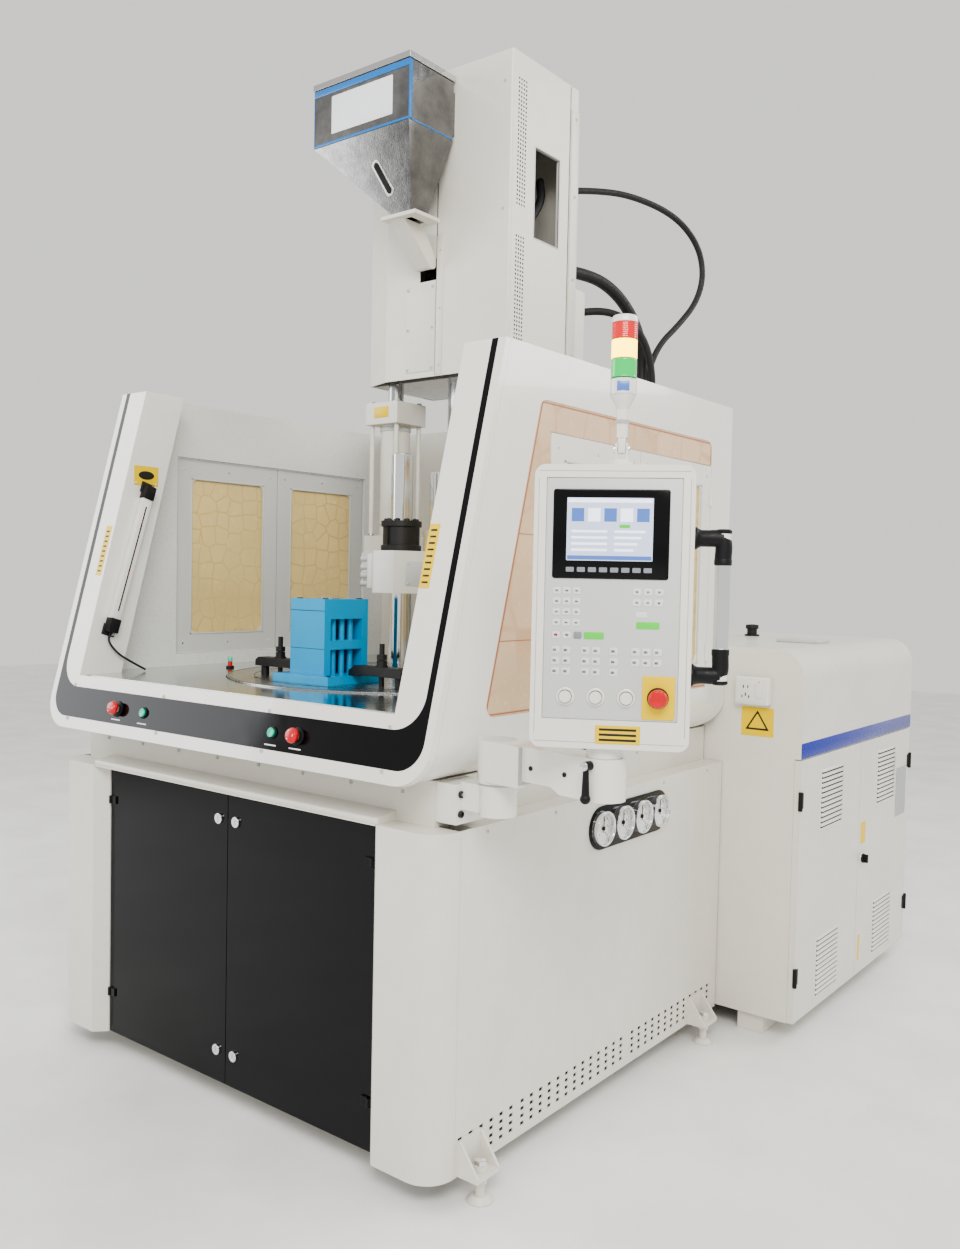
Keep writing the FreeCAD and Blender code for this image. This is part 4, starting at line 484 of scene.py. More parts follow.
def rounded(outline, radius, steps=5):
    """An outline with its corners rounded."""
    points = [Vector(p).to_2d() for p in outline]
    out = []
    for i, at in enumerate(points):
        before, after = points[i - 1], points[(i + 1) % len(points)]
        a, b = (before - at), (after - at)
        reach = min(radius, a.length * 0.49, b.length * 0.49)
        start, end = at + a.normalized() * reach, at + b.normalized() * reach
        for k in range(steps + 1):
            u = k / steps
            out.append(start * (1 - u) ** 2 + at * 2 * u * (1 - u) + end * u * u)
    return out


def smooth(points, steps=6):
    """Catmull-Rom curve through the points."""
    p = [Vector(q) for q in points]
    p = [p[0] * 2 - p[1]] + p + [p[-1] * 2 - p[-2]]
    out = []
    for a, b, c, d in zip(p, p[1:], p[2:], p[3:]):
        for k in range(steps):
            u = k / steps
            out.append(0.5 * (b * 2 + (c - a) * u + (a * 2 - b * 5 + c * 4 - d) * u * u
                              + (b * 3 - a - c * 3 + d) * u ** 3))
    return out + [p[-2]]


def rectangle(a0, b0, a1, b1):
    return [(a0, b0), (a1, b0), (a1, b1), (a0, b1)]


LEAN = math.radians(14.35)
SLOPE = Matrix.Translation((0, -0.793, 1.025)) @ Matrix.Rotation(-LEAN, 4, "X")
PANEL_POST = Vector((1.19549, -0.65186, 0))
PANEL = Matrix.Translation(PANEL_POST) @ Matrix.Rotation(math.radians(30), 4, "Z")
ARM_PIVOT = Vector((0.880, -0.612, 0))
ARM_TURN = Matrix.Rotation(math.radians(-7.2), 4, "Z")
TABLE_TOP = 1.192
BUTTON_Z = 0.081
FRONT_STOPS = (("left", -0.431), ("right", 0.356))
FRONT_STARTS = (("left", -0.300), ("right", 0.262))


# ---------------------------------------------------------------- cords
CORDS = {
    "conduit_thin": (0.022, 1.570, "medium",
                     [(285, 524.5, 2868), (318, 628, 2893), (372, 790, 2912), (440, 985, 2885),
                      (486, 1092, 2800), (498, 1130, 2690), (486, 1100, 2580),
                      (460, 1010, 2480), (434, 915, 2395), (420, 862, 2290),
                      (412, 846, 2170), (410, 845, 2060), (410, 846.5, 1960)]),
    "hose_thick": (0.042, 0.935, "stiff",
                   [(272, 525.5, 2596), (298, 617, 2602), (330, 722, 2579), (357, 811, 2516),
                    (375, 871, 2423), (382, 893, 2313), (379, 881, 2203), (375, 863, 2103),
                    (373, 851, 2008), (372, 848, 1920)]),
    "cable_lower": (0.026, 0.761, "medium",
                    [(275, 588, 2462), (316, 644, 2478), (368, 706, 2474), (414, 766, 2438),
                     (439, 812, 2372), (445, 844, 2288), (439, 861, 2198), (434, 867, 2104),
                     (432, 868, 2015), (432, 868.5, 1935)]),
}


def make_cords():
    """Three cables from the tower into the hose trunk, each one smooth spline."""
    for name, (width, length, stiffness, route) in CORDS.items():
        curve = bpy.data.curves.new("cord_" + name, "CURVE")
        curve.dimensions = "3D"
        curve.bevel_depth = width / 2
        curve.bevel_resolution = 5
        curve.resolution_u = 10
        curve.use_fill_caps = True
        spline = curve.splines.new("NURBS")
        spline.points.add(len(route) - 1)
        for spot, (x, y, z) in zip(spline.points, route):
            spot.co = (x / 1000, y / 1000, z / 1000, 1)
        spline.order_u = 3
        spline.use_endpoint_u = True
        curve.materials.append(M["rubber"])
        cord = bpy.data.objects.new("cord_" + name, curve)
        scene.collection.objects.link(cord)
        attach(cord, "injection")
        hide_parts(name)


# ---------------------------------------------------------------- cabin front
def dress_front():
    """Screws, button collars, plain label bars, strips on the posts."""
    p = Piece("front_trim", "machine", "white_paint", SLOPE)
    p.screws((-0.682, -0.223, 0.234, 0.665), (0.0,), (0.136, 0.030), FRONT, 0.0055, "light_grey")
    stops, starts = [x for _, x in FRONT_STOPS], [x for _, x in FRONT_STARTS]
    for x, inner, outer in ([(x, 0.0115, 0.024) for x in stops]
                            + [(x, 0.0136, 0.017) for x in starts]):
        p.lathe((x, 0.0001, BUTTON_Z), FRONT, [(outer, 0), (outer, 0.0025), (outer - 0.003, 0.0042),
                                          (inner, 0.0042), (inner, 0)], "black_plastic", 32)
    for x in stops + starts:
        p.block((x - 0.022, -0.0007, 0.047), (x + 0.022, 0.0002, 0.0505), "paper", 0.0003)
    for low, high, foot, top in ((-0.714, -0.685, 0.493, 0.658), (0.672, 0.704, 0.480, 0.642)):
        p.slab(rectangle(low, foot, high, top), "xz", -0.0008, 0.0004, "yellow", 0.002)
        for i in range(9):
            up = foot + 0.012 + i * 0.0165
            p.block((low + 0.006, -0.0012, up), (high - 0.006, -0.0007, up + 0.005),
                    "iron", 0.0002)
    p.done()


def dress_jambs():
    """Light curtain bars on both posts and the plate above the left one."""
    for tag, sign in (("left", -1), ("right", 1)):
        p = Piece("light_curtain_" + tag, "machine", "black_plastic")
        face = 0.671 * sign
        low, high = Vector((face, -0.652, 1.321)), Vector((face, -0.510, 1.797))
        along = high - low
        turn = Matrix.Rotation(-math.atan2(along.y, along.z), 4, "X")
        p.where = Matrix.Translation(low) @ turn
        reach = along.length
        inward = -sign

        def slab(depth, half, a, b, finish, out=0.0, p=p, inward=inward):
            x0, x1 = sorted((inward * out, inward * (out + depth)))
            p.block((x0, -half, a), (x1, half, b), finish, 0.002)
        slab(0.026, 0.017, 0.04, reach - 0.04, "white_gloss")
        slab(0.0268, 0.003, 0.07, reach - 0.07, "shadow")
        slab(0.030, 0.0185, 0.0, 0.045, "black_plastic")
        slab(0.030, 0.0185, reach - 0.045, reach, "black_plastic")
        slab(0.004, 0.024, -0.012, 0.024, "iron")
        slab(0.004, 0.024, reach - 0.024, reach + 0.012, "iron")
        for i in range(4):
            slab(0.028, 0.0025, 0.10 + i * 0.09, 0.105 + i * 0.09, "red")
        for z in (-0.004, reach + 0.004):
            p.screw((inward * 0.004, 0.017, z), (inward, 0, 0), 0.0045, "chrome")
        p.where = Matrix.Identity(4)
        x = face + inward * 0.012
        p.tube([low + Vector((inward * 0.012, 0.0, 0.0)), (x, -0.655, 1.29), (x, -0.62, 1.25),
                (x, -0.56, 1.215), (x, -0.52, 1.1945)], 0.0035, "rubber")
        p.done()
    p = Piece("post_plate", "machine", "white_plastic")
    p.slab(rectangle(-0.560, 1.800, -0.468, 1.864), "yz", -0.6710, -0.6698, "yellow", 0.003)
    oval = [(-0.514 + 0.030 * math.cos(a * math.pi / 12), 1.834 + 0.014 * math.sin(a * math.pi / 12))
            for a in range(24)]
    p.slab(oval, "yz", -0.6699, -0.6692, "iron")
    for y in (-0.552, -0.476):
        p.screw((-0.6698, y, 1.808), RIGHT, 0.003, "chrome", 0.0015)
    p.done()


def dress_skirt():
    p = Piece("skirt_screws", "machine", "white_paint")
    for i in range(8):
        p.screw((-0.63 + i * 0.18, -0.671, 0.985), FRONT, 0.005, "light_grey")
    for side, y in product(SIDES, (-0.60, -0.30, 0.0, 0.30, 0.60)):
        p.screw((0.734 * side, y, 0.985), (side, 0, 0), 0.005, "light_grey")
        p.screw((0.804 * side, y + 0.05, 0.893), (side, 0, 0), 0.0045, "light_grey")
    for side in SIDES:
        for y in (-0.60, 0.60):
            p.lathe((0.8411 * side, y, 0.0883), UP, [(0.017, 0), (0.017, 0.012),
                    (0.012, 0.014), (0.0, 0.014)], "chrome", 6)
    p.done()
    p = Piece("vent_backs", "machine", "black_plastic")
    for side in SIDES:
        for y, columns in ((-0.635, 6), (-0.375, 13), (0.195, 13)):
            end = y + 0.042 * (columns - 1) + 0.010
            a, b = sorted((0.8001 * side, 0.8012 * side))
            p.block((a, y - 0.010, 0.083), (b, end, 0.157), "shadow", 0.0002)
    p.done()
    p = Piece("door_hinge_bits", "machine", "black_plastic")
    for side in SIDES:
        for z in (0.186, 0.796):
            p.block((0.5695 * side - 0.0015, -0.7085, z - 0.004), (0.5695 * side + 0.0015, -0.7045,
                    z + 0.018), "black_plastic", 0.0008)
    p.done()


def window_door_trim(name, body, side):
    """Gasket, frame screws and a grip on a window door."""
    low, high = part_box(name)
    face = 0.804 * side
    inner = 0.786 * side
    p = Piece(name + "_trim", body, "grey_plastic")
    bar = 0.068
    middle = bar / 2
    y0, y1, z0, z1 = low.y + bar, high.y - bar, low.z + bar, high.z - bar
    hinge_low = low.y < -0.3
    z_mid = (low.z + high.z) / 2
    for x, out in ((face, side), (inner, -side)):
        line = [(y0, z0), (y1, z0), (y1, z1), (y0, z1)]
        for (a, b), (c, d) in zip(line, line[1:] + line[:1]):
            x0, x1 = sorted((x - out * 0.001, x + out * 0.0022))
            p.block((x0, min(a, c) - 0.003, min(b, d) - 0.003),
                    (x1, max(a, c) + 0.003, max(b, d) + 0.003), "light_grey", 0.0012)
        p.screws((x,), (low.y + middle, (low.y + high.y) / 2, high.y - middle),
                 (low.z + middle, high.z - middle), (out, 0, 0), 0.0045, "chrome", 0.002)
    grip_y = high.y - middle if hinge_low else low.y + middle
    for depth, half_wide, half_tall, round_off in ((0.004, 0.012, 0.05, 0.003),
                                                   (0.022, 0.006, 0.032, 0.005)):
        x0, x1 = sorted((face, face + side * depth))
        p.block((x0, grip_y - half_wide, z_mid - half_tall),
                (x1, grip_y + half_wide, z_mid + half_tall), "black_plastic", round_off)
    p.done()


def pane_edges():
    """Darker cut edges and lap seams of the film on the right pane."""
    p = Piece("pane_film_edges", "machine", "amber_film")
    x0, x1 = 0.8028, 0.8036
    low_y, top_y, rear, low, high = -0.570, -0.356, 0.614, 1.179, 1.976
    lean = (top_y - low_y) / (high - low)
    p.slab([(low_y, low), (low_y + 0.005, low), (top_y + 0.005, high), (top_y, high)], "yz",
           x0, x1, "film_edge")
    p.slab(rectangle(low_y, low, rear, low + 0.004), "yz", x0, x1, "film_edge")
    p.slab(rectangle(top_y, high - 0.004, rear, high), "yz", x0, x1, "film_edge")
    p.slab(rectangle(rear - 0.004, 1.905, rear, high), "yz", x0, x1, "film_edge")
    for z in (1.36, 1.63):
        y = low_y + lean * (z - low)
        p.slab(rectangle(y + 0.005, z, -0.318, z + 0.0025), "yz", x0, x1 - 0.0004, "film_edge")
    p.done()


# ---------------------------------------------------------------- table, mould, clamp
def dress_table():
    p = Piece("mould_details", "table", "mould_blue")
    y = -0.32
    face = y - 0.092
    top = 1.446
    for low, high in ((0.036, 0.0345), (0.150, 0.1488)):
        p.block((-0.0745, face - 0.0006, top - low), (0.0745, face + 0.001, top - high),
                "shadow", 0.0002)
    p.screws((-0.055, 0.055), (y - 0.072, y + 0.072), (top - 0.0004,), UP, 0.010, "iron", 0.003)
    p.lathe((0, y, top - 0.0004), UP, [(0.032, 0), (0.032, 0.003), (0.029, 0.0045),
            (0.012, 0.0045), (0.004, 0.001), (0, 0.001)], "steel", 36)
    p.screws((-0.105, 0.105), (y - 0.104, y + 0.104), (1.218,), UP, 0.007, "iron", 0.003)
    for dy in (-0.03, 0.03):
        p.lathe((-0.074, y + dy, 1.30), (-1, 0, 0), [(0.008, 0), (0.008, 0.012), (0.006, 0.013),
                (0.006, 0.02), (0.0075, 0.021), (0.0075, 0.03), (0, 0.03)], "chrome", 16)
    p.done()
    p = Piece("table_details", "table", "machined_steel")
    for radius in (0.552, 0.47):
        p.lathe((0, 0, TABLE_TOP), UP, [(radius, 0), (radius, 0.0007), (radius - 0.002, 0.0007),
                                           (radius - 0.002, 0)], "iron", 96)
    for sign in SIDES:
        for across, deep in product((-0.222, 0.0, 0.222), (-0.1, 0.0, 0.1)):
            if across and deep or sign > 0 and (across or deep):
                p.lathe((across, 0.32 * sign + deep, 1.1905), UP,
                        [(0.0085, 0), (0.0085, 0.0018), (0.0079, 0.0018), (0.0078, 0)],
                        "iron", 20)
    p.done()
    p = Piece("deck_sensor", "machine", "red_plastic")
    p.block((-0.606, -0.229, 1.188), (-0.586, -0.209, 1.196), "iron", 0.001)
    p.lathe((-0.596, -0.219, 1.196), UP, [(0.008, 0), (0.008, 0.016), (0, 0.016)], "red")
    p.lathe((-0.596, -0.219, 1.212), UP, [(0.0085, 0), (0.0085, 0.012), (0.006, 0.016),
                                                 (0, 0.016)], "teal")
    p.done()


def dress_clamp():
    """Split black nut on the front bar, its screws, the plates and the hose manifold."""
    p = Piece("split_nut", "clamp", "cast_iron")
    r = 0.0605
    p.lathe((0, 0, 1.6025), UP, [(0.0362, 0), (r + 0.006, 0), (r + 0.006, 0.018), (r, 0.020),
                                 (r, 0.078), (r + 0.006, 0.080), (r + 0.006, 0.098),
                                 (0.0362, 0.098), (0.0362, 0.0962)], "iron", 48)
    for i in range(10):
        a = math.radians(36 * i + 9)
        p.screw((0.051 * math.cos(a), 0.051 * math.sin(a), 1.7005), UP, 0.0062, "iron", 0.008)
    for side in SIDES:
        p.block((-0.0012, side * 0.048 - 0.019, 1.606), (0.0012, side * 0.048 + 0.0195, 1.698),
                "shadow", 0.0002)
    p.done()
    p = Piece("platen_plates", "clamp", "white_paint")
    run = Vector((0.3702, 0.6622, 0)).normalized()
    corner = Vector((0.045, -0.09, 0))
    turn = Matrix((run, Vector((run.y, -run.x, 0)), UP)).transposed().to_4x4()
    p.where = Matrix.Translation(corner + UP * 1.464) @ turn
    p.block((0.045, 0.0, 0.024), (0.185, 0.0014, 0.104), "light_grey", 0.0006)
    p.screws((0.053, 0.177), (0.0014,), (0.032, 0.096), BACK, 0.0035, "chrome", 0.0016)
    p.where = Matrix.Translation((-0.045, -0.09, 1.464)) @ Matrix(
        (Vector((-run.x, run.y, 0)), Vector((-run.y, -run.x, 0)), UP)).transposed().to_4x4()
    p.block((0.02, 0.0, 0.014), (0.075, 0.022, 0.128), "white_gloss", 0.003)
    for i in range(4):
        z = 0.030 + i * 0.027
        p.lathe((0.047, 0.022, z), BACK, [(0.011, 0), (0.011, 0.006), (0.009, 0.007),
                (0.009, 0.016), (0.0105, 0.018), (0.0105, 0.026), (0.005, 0.028), (0, 0.02)],
                "light_grey", 18)
    p.done()
    p = Piece("carriage_details", "clamp", "machined_steel")
    for x in (-0.226, 0.226):
        y = 0.209
        for dx, dy in product((-0.058, 0.058), repeat=2):
            p.lathe((x + dx, y + dy, 2.1278), UP, [(0.013, 0), (0.013, 0.004), (0.0118, 0.005),
                    (0, 0.005)], "steel", 6)
            p.screw((x + dx, y + dy, 1.662), UP, 0.010, "steel", 0.008)
        p.lathe((x, y, 2.128), UP, [(0.048, 0), (0.048, 0.003), (0.046, 0.005), (0.029, 0.005),
                                    (0.029, 0.0)], "chrome", 36)
        p.block((x - 0.034, y - 0.0762, 2.075), (x + 0.034, y - 0.0749, 2.112), "yellow", 0.0006)
        for z in (1.70, 2.03):
            p.lathe((x, y, z), UP, [(0.0522, 0), (0.0548, 0.002), (0.0548, 0.014), (0.0522, 0.016)],
                    "light_grey", 40)
    for x, y in ((0, 0), (-0.299, 0.539), (0.299, 0.539)):
        p.lathe((x, y, 1.918), UP, [(0.0358, -0.001), (0.0358, 0.0005), (0.030, 0.004), (0.008, 0.004),
                                    (0.006, 0.0), (0, 0.0)], "chrome", 36)
    p.done()


# ---------------------------------------------------------------- injection tower and hopper
def dress_tower():
    p = Piece("tower_front", "injection", "white_paint")
    face = 0.134
    p.slab(rectangle(-0.117, 2.215, 0.013, 2.505), "xz", face - 0.0022, face + 0.0004, "white",
           0.004, 0.0006)
    plate = face - 0.0022
    p.screws((-0.107, 0.003), (plate,), (2.225, 2.36, 2.495), FRONT, 0.005, "light_grey")
    p.block((0.016, face - 0.0009, 2.20), (0.0185, face + 0.0005, 3.19), "shadow", 0.0002)
    p.block((0.0185, face - 0.0022, 2.20), (0.046, face + 0.0004, 2.66), "white", 0.0006)
    p.screws((0.034,), (plate,), (2.23, 2.42, 2.61), FRONT, 0.004, "light_grey", 0.002)
    p.screws((0.29,), (face,), (2.25, 2.7, 3.1), FRONT, 0.0045, "light_grey")
    p.done()
    p = Piece("tower_side", "injection", "white_paint")
    x = 0.320
    for z0, rows in ((2.28, 26), (2.72, 30)):
        for column, row in product(range(4), range(rows)):
            p.lathe((x - 0.0004, 0.168 + column * 0.013, z0 + row * 0.0135), RIGHT,
                    [(0.0036, 0), (0.0036, 0.0007), (0, 0.0007)], "shadow", 7)
    p.slab(rectangle(0.470, 2.26, 0.515, 3.12), "yz", x - 0.0002, x + 0.004, "white", 0.004, 0.0008)
    p.block((x - 0.0002, 0.462, 2.2), (x + 0.0008, 0.4645, 3.19), "shadow", 0.0002)
    p.screws((x + 0.004,), (0.492,), (2.29, 2.55, 2.83, 3.09), RIGHT, 0.005, "light_grey")
    y0, y1, z0, z1 = 0.264, 0.404, 2.635, 2.925
    for a, b, c, d in ((y0 - 0.004, z0 - 0.004, y1 + 0.004, z0), (y0 - 0.004, z1, y1 + 0.004,
                       z1 + 0.004), (y0 - 0.004, z0, y0, z1), (y1, z0, y1 + 0.004, z1)):
        p.block((x - 0.012, a, b), (x + 0.0012, c, d), "light_grey", 0.0005)
    p.done()
    p = Piece("tower_inside", "injection", "machined_steel")
    p.tube([(0.20, 0.30, 2.62), (0.255, 0.33, 2.72), (0.262, 0.38, 2.80), (0.23, 0.42, 2.88)], 0.014,
           "rubber")
    p.tube([(0.17, 0.28, 2.62), (0.225, 0.30, 2.70), (0.235, 0.30, 2.80), (0.20, 0.33, 2.90)], 0.010,
           "rubber")
    p.lathe((0.17, 0.33, 2.66), UP, [(0.045, 0), (0.045, 0.06), (0.03, 0.065), (0.03, 0.12),
                                     (0.038, 0.125), (0.038, 0.17), (0, 0.17)], "steel", 30)
    p.block((0.14, 0.24, 2.63), (0.24, 0.42, 2.645), "iron", 0.003)
    p.done()
    p = Piece("tower_rear", "injection", "white_paint")
    p.screws((-0.29, 0.0), (0.519,), (2.28, 2.50, 2.72, 2.94, 3.14), BACK, 0.0055, "light_grey")
    p.block((-0.0012, 0.5187, 2.2), (0.0012, 0.5202, 3.19), "shadow", 0.0002)
    for x, y, z, r in ((0.285, 0.519, 2.868, 0.017), (0.272, 0.519, 2.596, 0.029),
                       (0.275, 0.579, 2.462, 0.019)):
        p.lathe((x, y, z), BACK, [(r, 0), (r, 0.006), (r * 0.94, 0.008), (r * 0.8, 0.008),
                                       (r * 0.78, 0.0165), (r * 0.70, 0.0165), (r * 0.70, 0)],
                "black_plastic", 24)
    p.screws((0.245, 0.305), (0.579,), (2.29, 2.49), BACK, 0.004, "light_grey")
    p.done()


def dress_hopper():
    x0, x1, y0, y1 = -0.345, 0.083, -0.090, 0.124
    p = Piece("hopper_trim", "injection", "stainless")
    for x in (x0, x1):
        p.block((x - 0.0012, y0 - 0.0012, 2.955), (x + 0.0012, y0 + 0.014, 3.142), "film_blue", 0.0004)
    p.block((x0, y0 - 0.0014, 3.120), (x1, y0 - 0.0002, 3.141), "film_blue", 0.0004)
    p.block((x0, y0 - 0.0014, 2.955), (x1, y0 - 0.0002, 2.963), "film_blue", 0.0004)
    p.block((x1 + 0.0002, y0, 2.955), (x1 + 0.0012, y1, 2.960), "film_blue", 0.0004)
    p.slab(rectangle(-0.262, 2.985, 0.012, 3.108), "xz", y0 - 0.0022, y0 - 0.0002, "paper", 0.004,
           0.0005)
    lid = 3.1633
    p.tube([(-0.19, 0.017, lid), (-0.185, 0.017, lid + 0.022), (-0.07, 0.017, lid + 0.022),
            (-0.065, 0.017, lid)], 0.004, "chrome")
    p.screws((-0.058, 0.058), (0.017 - 0.046, 0.017 + 0.046), (2.69,), UP, 0.006, "steel", 0.005)
    p.done()
    front_low, front_high = Vector((0.0, -0.020, 2.69)), Vector((-0.131, -0.090, 2.952))
    up = (front_high - front_low).normalized()
    across = (RIGHT - up * RIGHT.dot(up)).normalized()
    out = across.cross(up)
    middle = front_low.lerp(front_high, 0.46)
    p = Piece("sight_slot", "injection", "stainless",
              Matrix.Translation(middle + out * 0.0015)
              @ Matrix((across, -out, up)).transposed().to_4x4())
    slot = [(0.011 * math.cos(a), 0.045 + 0.011 * math.sin(a))
            for a in (i * math.pi / 8 for i in range(9))]
    slot += [(-x, -y) for x, y in slot]
    wide = [(x * 1.6, y * 1.14) for x, y in slot]
    p.slab(wide, "xz", 0.0, 0.003, "stainless")
    p.slab(slot, "xz", -0.0006, 0.0, "shadow")
    p.done()


# ---------------------------------------------------------------- rear cabinet
def louvres(p, face, y0, y1, z0, z1):
    """Raised plate with slanted blades."""
    p.slab(rectangle(y0 - 0.010, z0 - 0.012, y1 + 0.010, z1 + 0.008), "yz", face - 0.0002,
           face + 0.0012, "white_gloss", 0.008, 0.0004)
    count = 12
    pitch = 0.017
    tilt = Matrix.Rotation(math.radians(-32), 4, "Y")
    for i in range(count):
        z = z0 + 0.009 + i * pitch
        p.block((face + 0.0008, y0 + 0.002, z - 0.005), (face + 0.0032, y1 - 0.002, z + 0.007),
                "white_gloss", 0.001, tilt)
        p.block((face + 0.0010, y0 + 0.003, z - 0.0100), (face + 0.0022, y1 - 0.003, z - 0.0036),
                "shadow", 0.0002)


def dress_cabinet():
    face = 1.081
    for name, body, y0, y1 in (("front", "cabinet_front", 0.954, 1.162),
                               ("rear", "cabinet_rear", 1.540, 1.748)):
        p = Piece(f"cabinet_{name}_door_trim", body, "white_paint")
        louvres(p, face, y0, y1, 0.110, 0.304)
        louvres(p, face, y0, y1, 0.690, 0.884)
        hinge = 0.7673 if name == "front" else 1.935
        for z in (0.222, 0.809):
            p.lathe((1.083, hinge, z - 0.031), UP, [(0, 0), (0.0073, 0), (0.0073, 0.062), (0, 0.062)],
                    "black_plastic", 20)
            back = 0.026 if name == "front" else -0.026
            a, b = sorted((hinge, hinge + back))
            p.block((face - 0.0002, a, z - 0.026), (face + 0.003, b, z + 0.026), "black_plastic",
                    0.001)
        if name == "rear":
            p.slab(rectangle(1.775, 0.598, 1.900, 0.793), "yz", face - 0.0002, face + 0.0014, "grey",
                   0.004, 0.0004)
            p.screws((face + 0.0014,), (1.783, 1.892), (0.606, 0.785), RIGHT, 0.003, "chrome", 0.0014)
            p.slab(rectangle(1.373, 0.560, 1.425, 0.640), "yz", face - 0.0002, face + 0.0006,
                   "yellow", 0.002)
            p.slab(rectangle(1.380, 0.120, 1.398, 0.215), "yz", face - 0.0002, face + 0.0006,
                   "yellow", 0.001)
            p.lathe((face + 0.0003, 1.39915, 0.503), RIGHT, [(0.021, -0.0004), (0.021, 0.002),
                    (0.0175, 0.003), (0.0175, 0)], "chrome", 30)
        p.done()
    p = Piece("cabinet_trim", "machine", "blue_paint")
    p.block((face - 0.0002, 0.7673, 0.9475), (face + 0.0008, 1.935, 0.999), "blue", 0.0003)
    side = 0.7663
    p.block((0.855, side - 0.034, 1.115), (0.976, side + 0.0002, 1.210), "white_gloss", 0.008,
            None, 3)
    p.slab(rectangle(0.864, 1.124, 0.967, 1.201), "xz", side - 0.0355, side - 0.0335, "white_gloss",
           0.004, 0.0006)
    for x, z, tall in ((0.888, 1.176, 0.010), (0.904, 1.176, 0.010), (0.896, 1.150, 0.011),
                       (0.884, 1.143, 0.009), (0.908, 1.143, 0.009)):
        p.block((x - 0.0016, side - 0.0362, z - tall / 2), (x + 0.0016, side - 0.035, z + tall / 2),
                "shadow", 0.0002)
    p.block((0.930, side - 0.0385, 1.140), (0.956, side - 0.0352, 1.186), "white_gloss", 0.002,
            Matrix.Rotation(math.radians(3), 4, "X"))
    p.lathe((0.943, side - 0.0352, 1.194), FRONT, [(0.002, 0), (0.002, 0.0012), (0, 0.0014)],
            "red", 12)
    p.slab(rectangle(0.869, 1.009, 0.983, 1.106), "xz", side - 0.0008, side + 0.0002, "yellow",
           0.004)
    p.slab([(0.884, 1.030), (0.968, 1.030), (0.926, 1.096)], "xz", side - 0.0012, side - 0.0006,
           "iron", 0.004)
    p.slab([(0.895, 1.0365), (0.957, 1.0365), (0.926, 1.0855)], "xz", side - 0.0016, side - 0.001,
           "yellow", 0.003)
    p.screws((-0.70, 0.0, 0.70, 1.02), (1.936,), (0.10, 0.60, 1.22), BACK, 0.006, "light_grey")
    for i in range(14):
        p.block((-0.45 + i * 0.03, 1.9355, 0.75), (-0.436 + i * 0.03, 1.9368, 0.95), "shadow",
                0.0004)
    p.block((0.80, 1.20, 1.3058), (0.96, 1.32, 1.318), "light_grey", 0.004)
    p.lathe((0.55, 1.55, 1.3058), UP, [(0.03, 0), (0.03, 0.006), (0.02, 0.009), (0.02, 0.028),
                                       (0.026, 0.031), (0.026, 0.046), (0.0, 0.049)], "iron", 26)
    p.screws((0.342, 0.442), (0.774,), (1.33, 1.65, 1.97), FRONT, 0.005, "light_grey")
    p.done()


def dress_gauges():
    """White dials with plain ticks in chrome rims, on a black plate."""
    p = Piece("gauge_dials", "machine", "white_plastic")
    z = 0.812
    ends = (-0.019, 0.311)
    outline = [(end + 0.0628 * math.cos(math.radians(a)), z + 0.0628 * math.sin(math.radians(a)))
               for end, start in ((ends[1], -90), (ends[0], 90))
               for a in range(start, start + 181, 10)]
    p.slab(outline, "yz", 0.8042, 0.8076, "black", 0.0, 0.0004)
    for y in (-0.019, 0.091, 0.201, 0.311):
        p.lathe((0.8106, y, z), RIGHT, [(0.0426, 0), (0.0426, 0.0006), (0, 0.0006)], "dial", 48)
        p.lathe((0.8245, y, z), RIGHT, [(0.043, 0.0002), (0.0445, 0.0022), (0.0485, 0.0022),
                                            (0.0503, 0.0), (0.0503, -0.006)], "chrome", 48)
        for i in range(31):
            a = math.radians(-135 + 9 * i)
            tall = 0.008 if i % 5 == 0 else 0.0045
            middle = Vector((0.8115, y - math.sin(a) * (0.038 - tall / 2),
                             z + math.cos(a) * (0.038 - tall / 2)))
            wide = 0.0007 if i % 5 == 0 else 0.0004
            p.block(middle - Vector((0.0003, wide, tall / 2)),
                    middle + Vector((0.0003, wide, tall / 2)), "shadow", 0.0001,
                    Matrix.Rotation(a, 4, "X"))
        for i in range(6):
            a = math.radians(-135 + 54 * i)
            spot = Vector((0.8113, y - math.sin(a) * 0.024, z + math.cos(a) * 0.024))
            p.block(spot - Vector((0.0002, 0.0022, 0.003)), spot + Vector((0.0002, 0.0022, 0.003)),
                    "key_dark", 0.0002)
        p.lathe((0.8136, y, z), RIGHT, [(0.0062, 0.0), (0.0062, 0.0032), (0.004, 0.0045),
                                            (0, 0.0045)], "black_plastic", 20)
    for y in (-0.064, 0.356):
        p.screw((0.8076, y, z), RIGHT, 0.0045, "chrome", 0.0022)
    p.done()


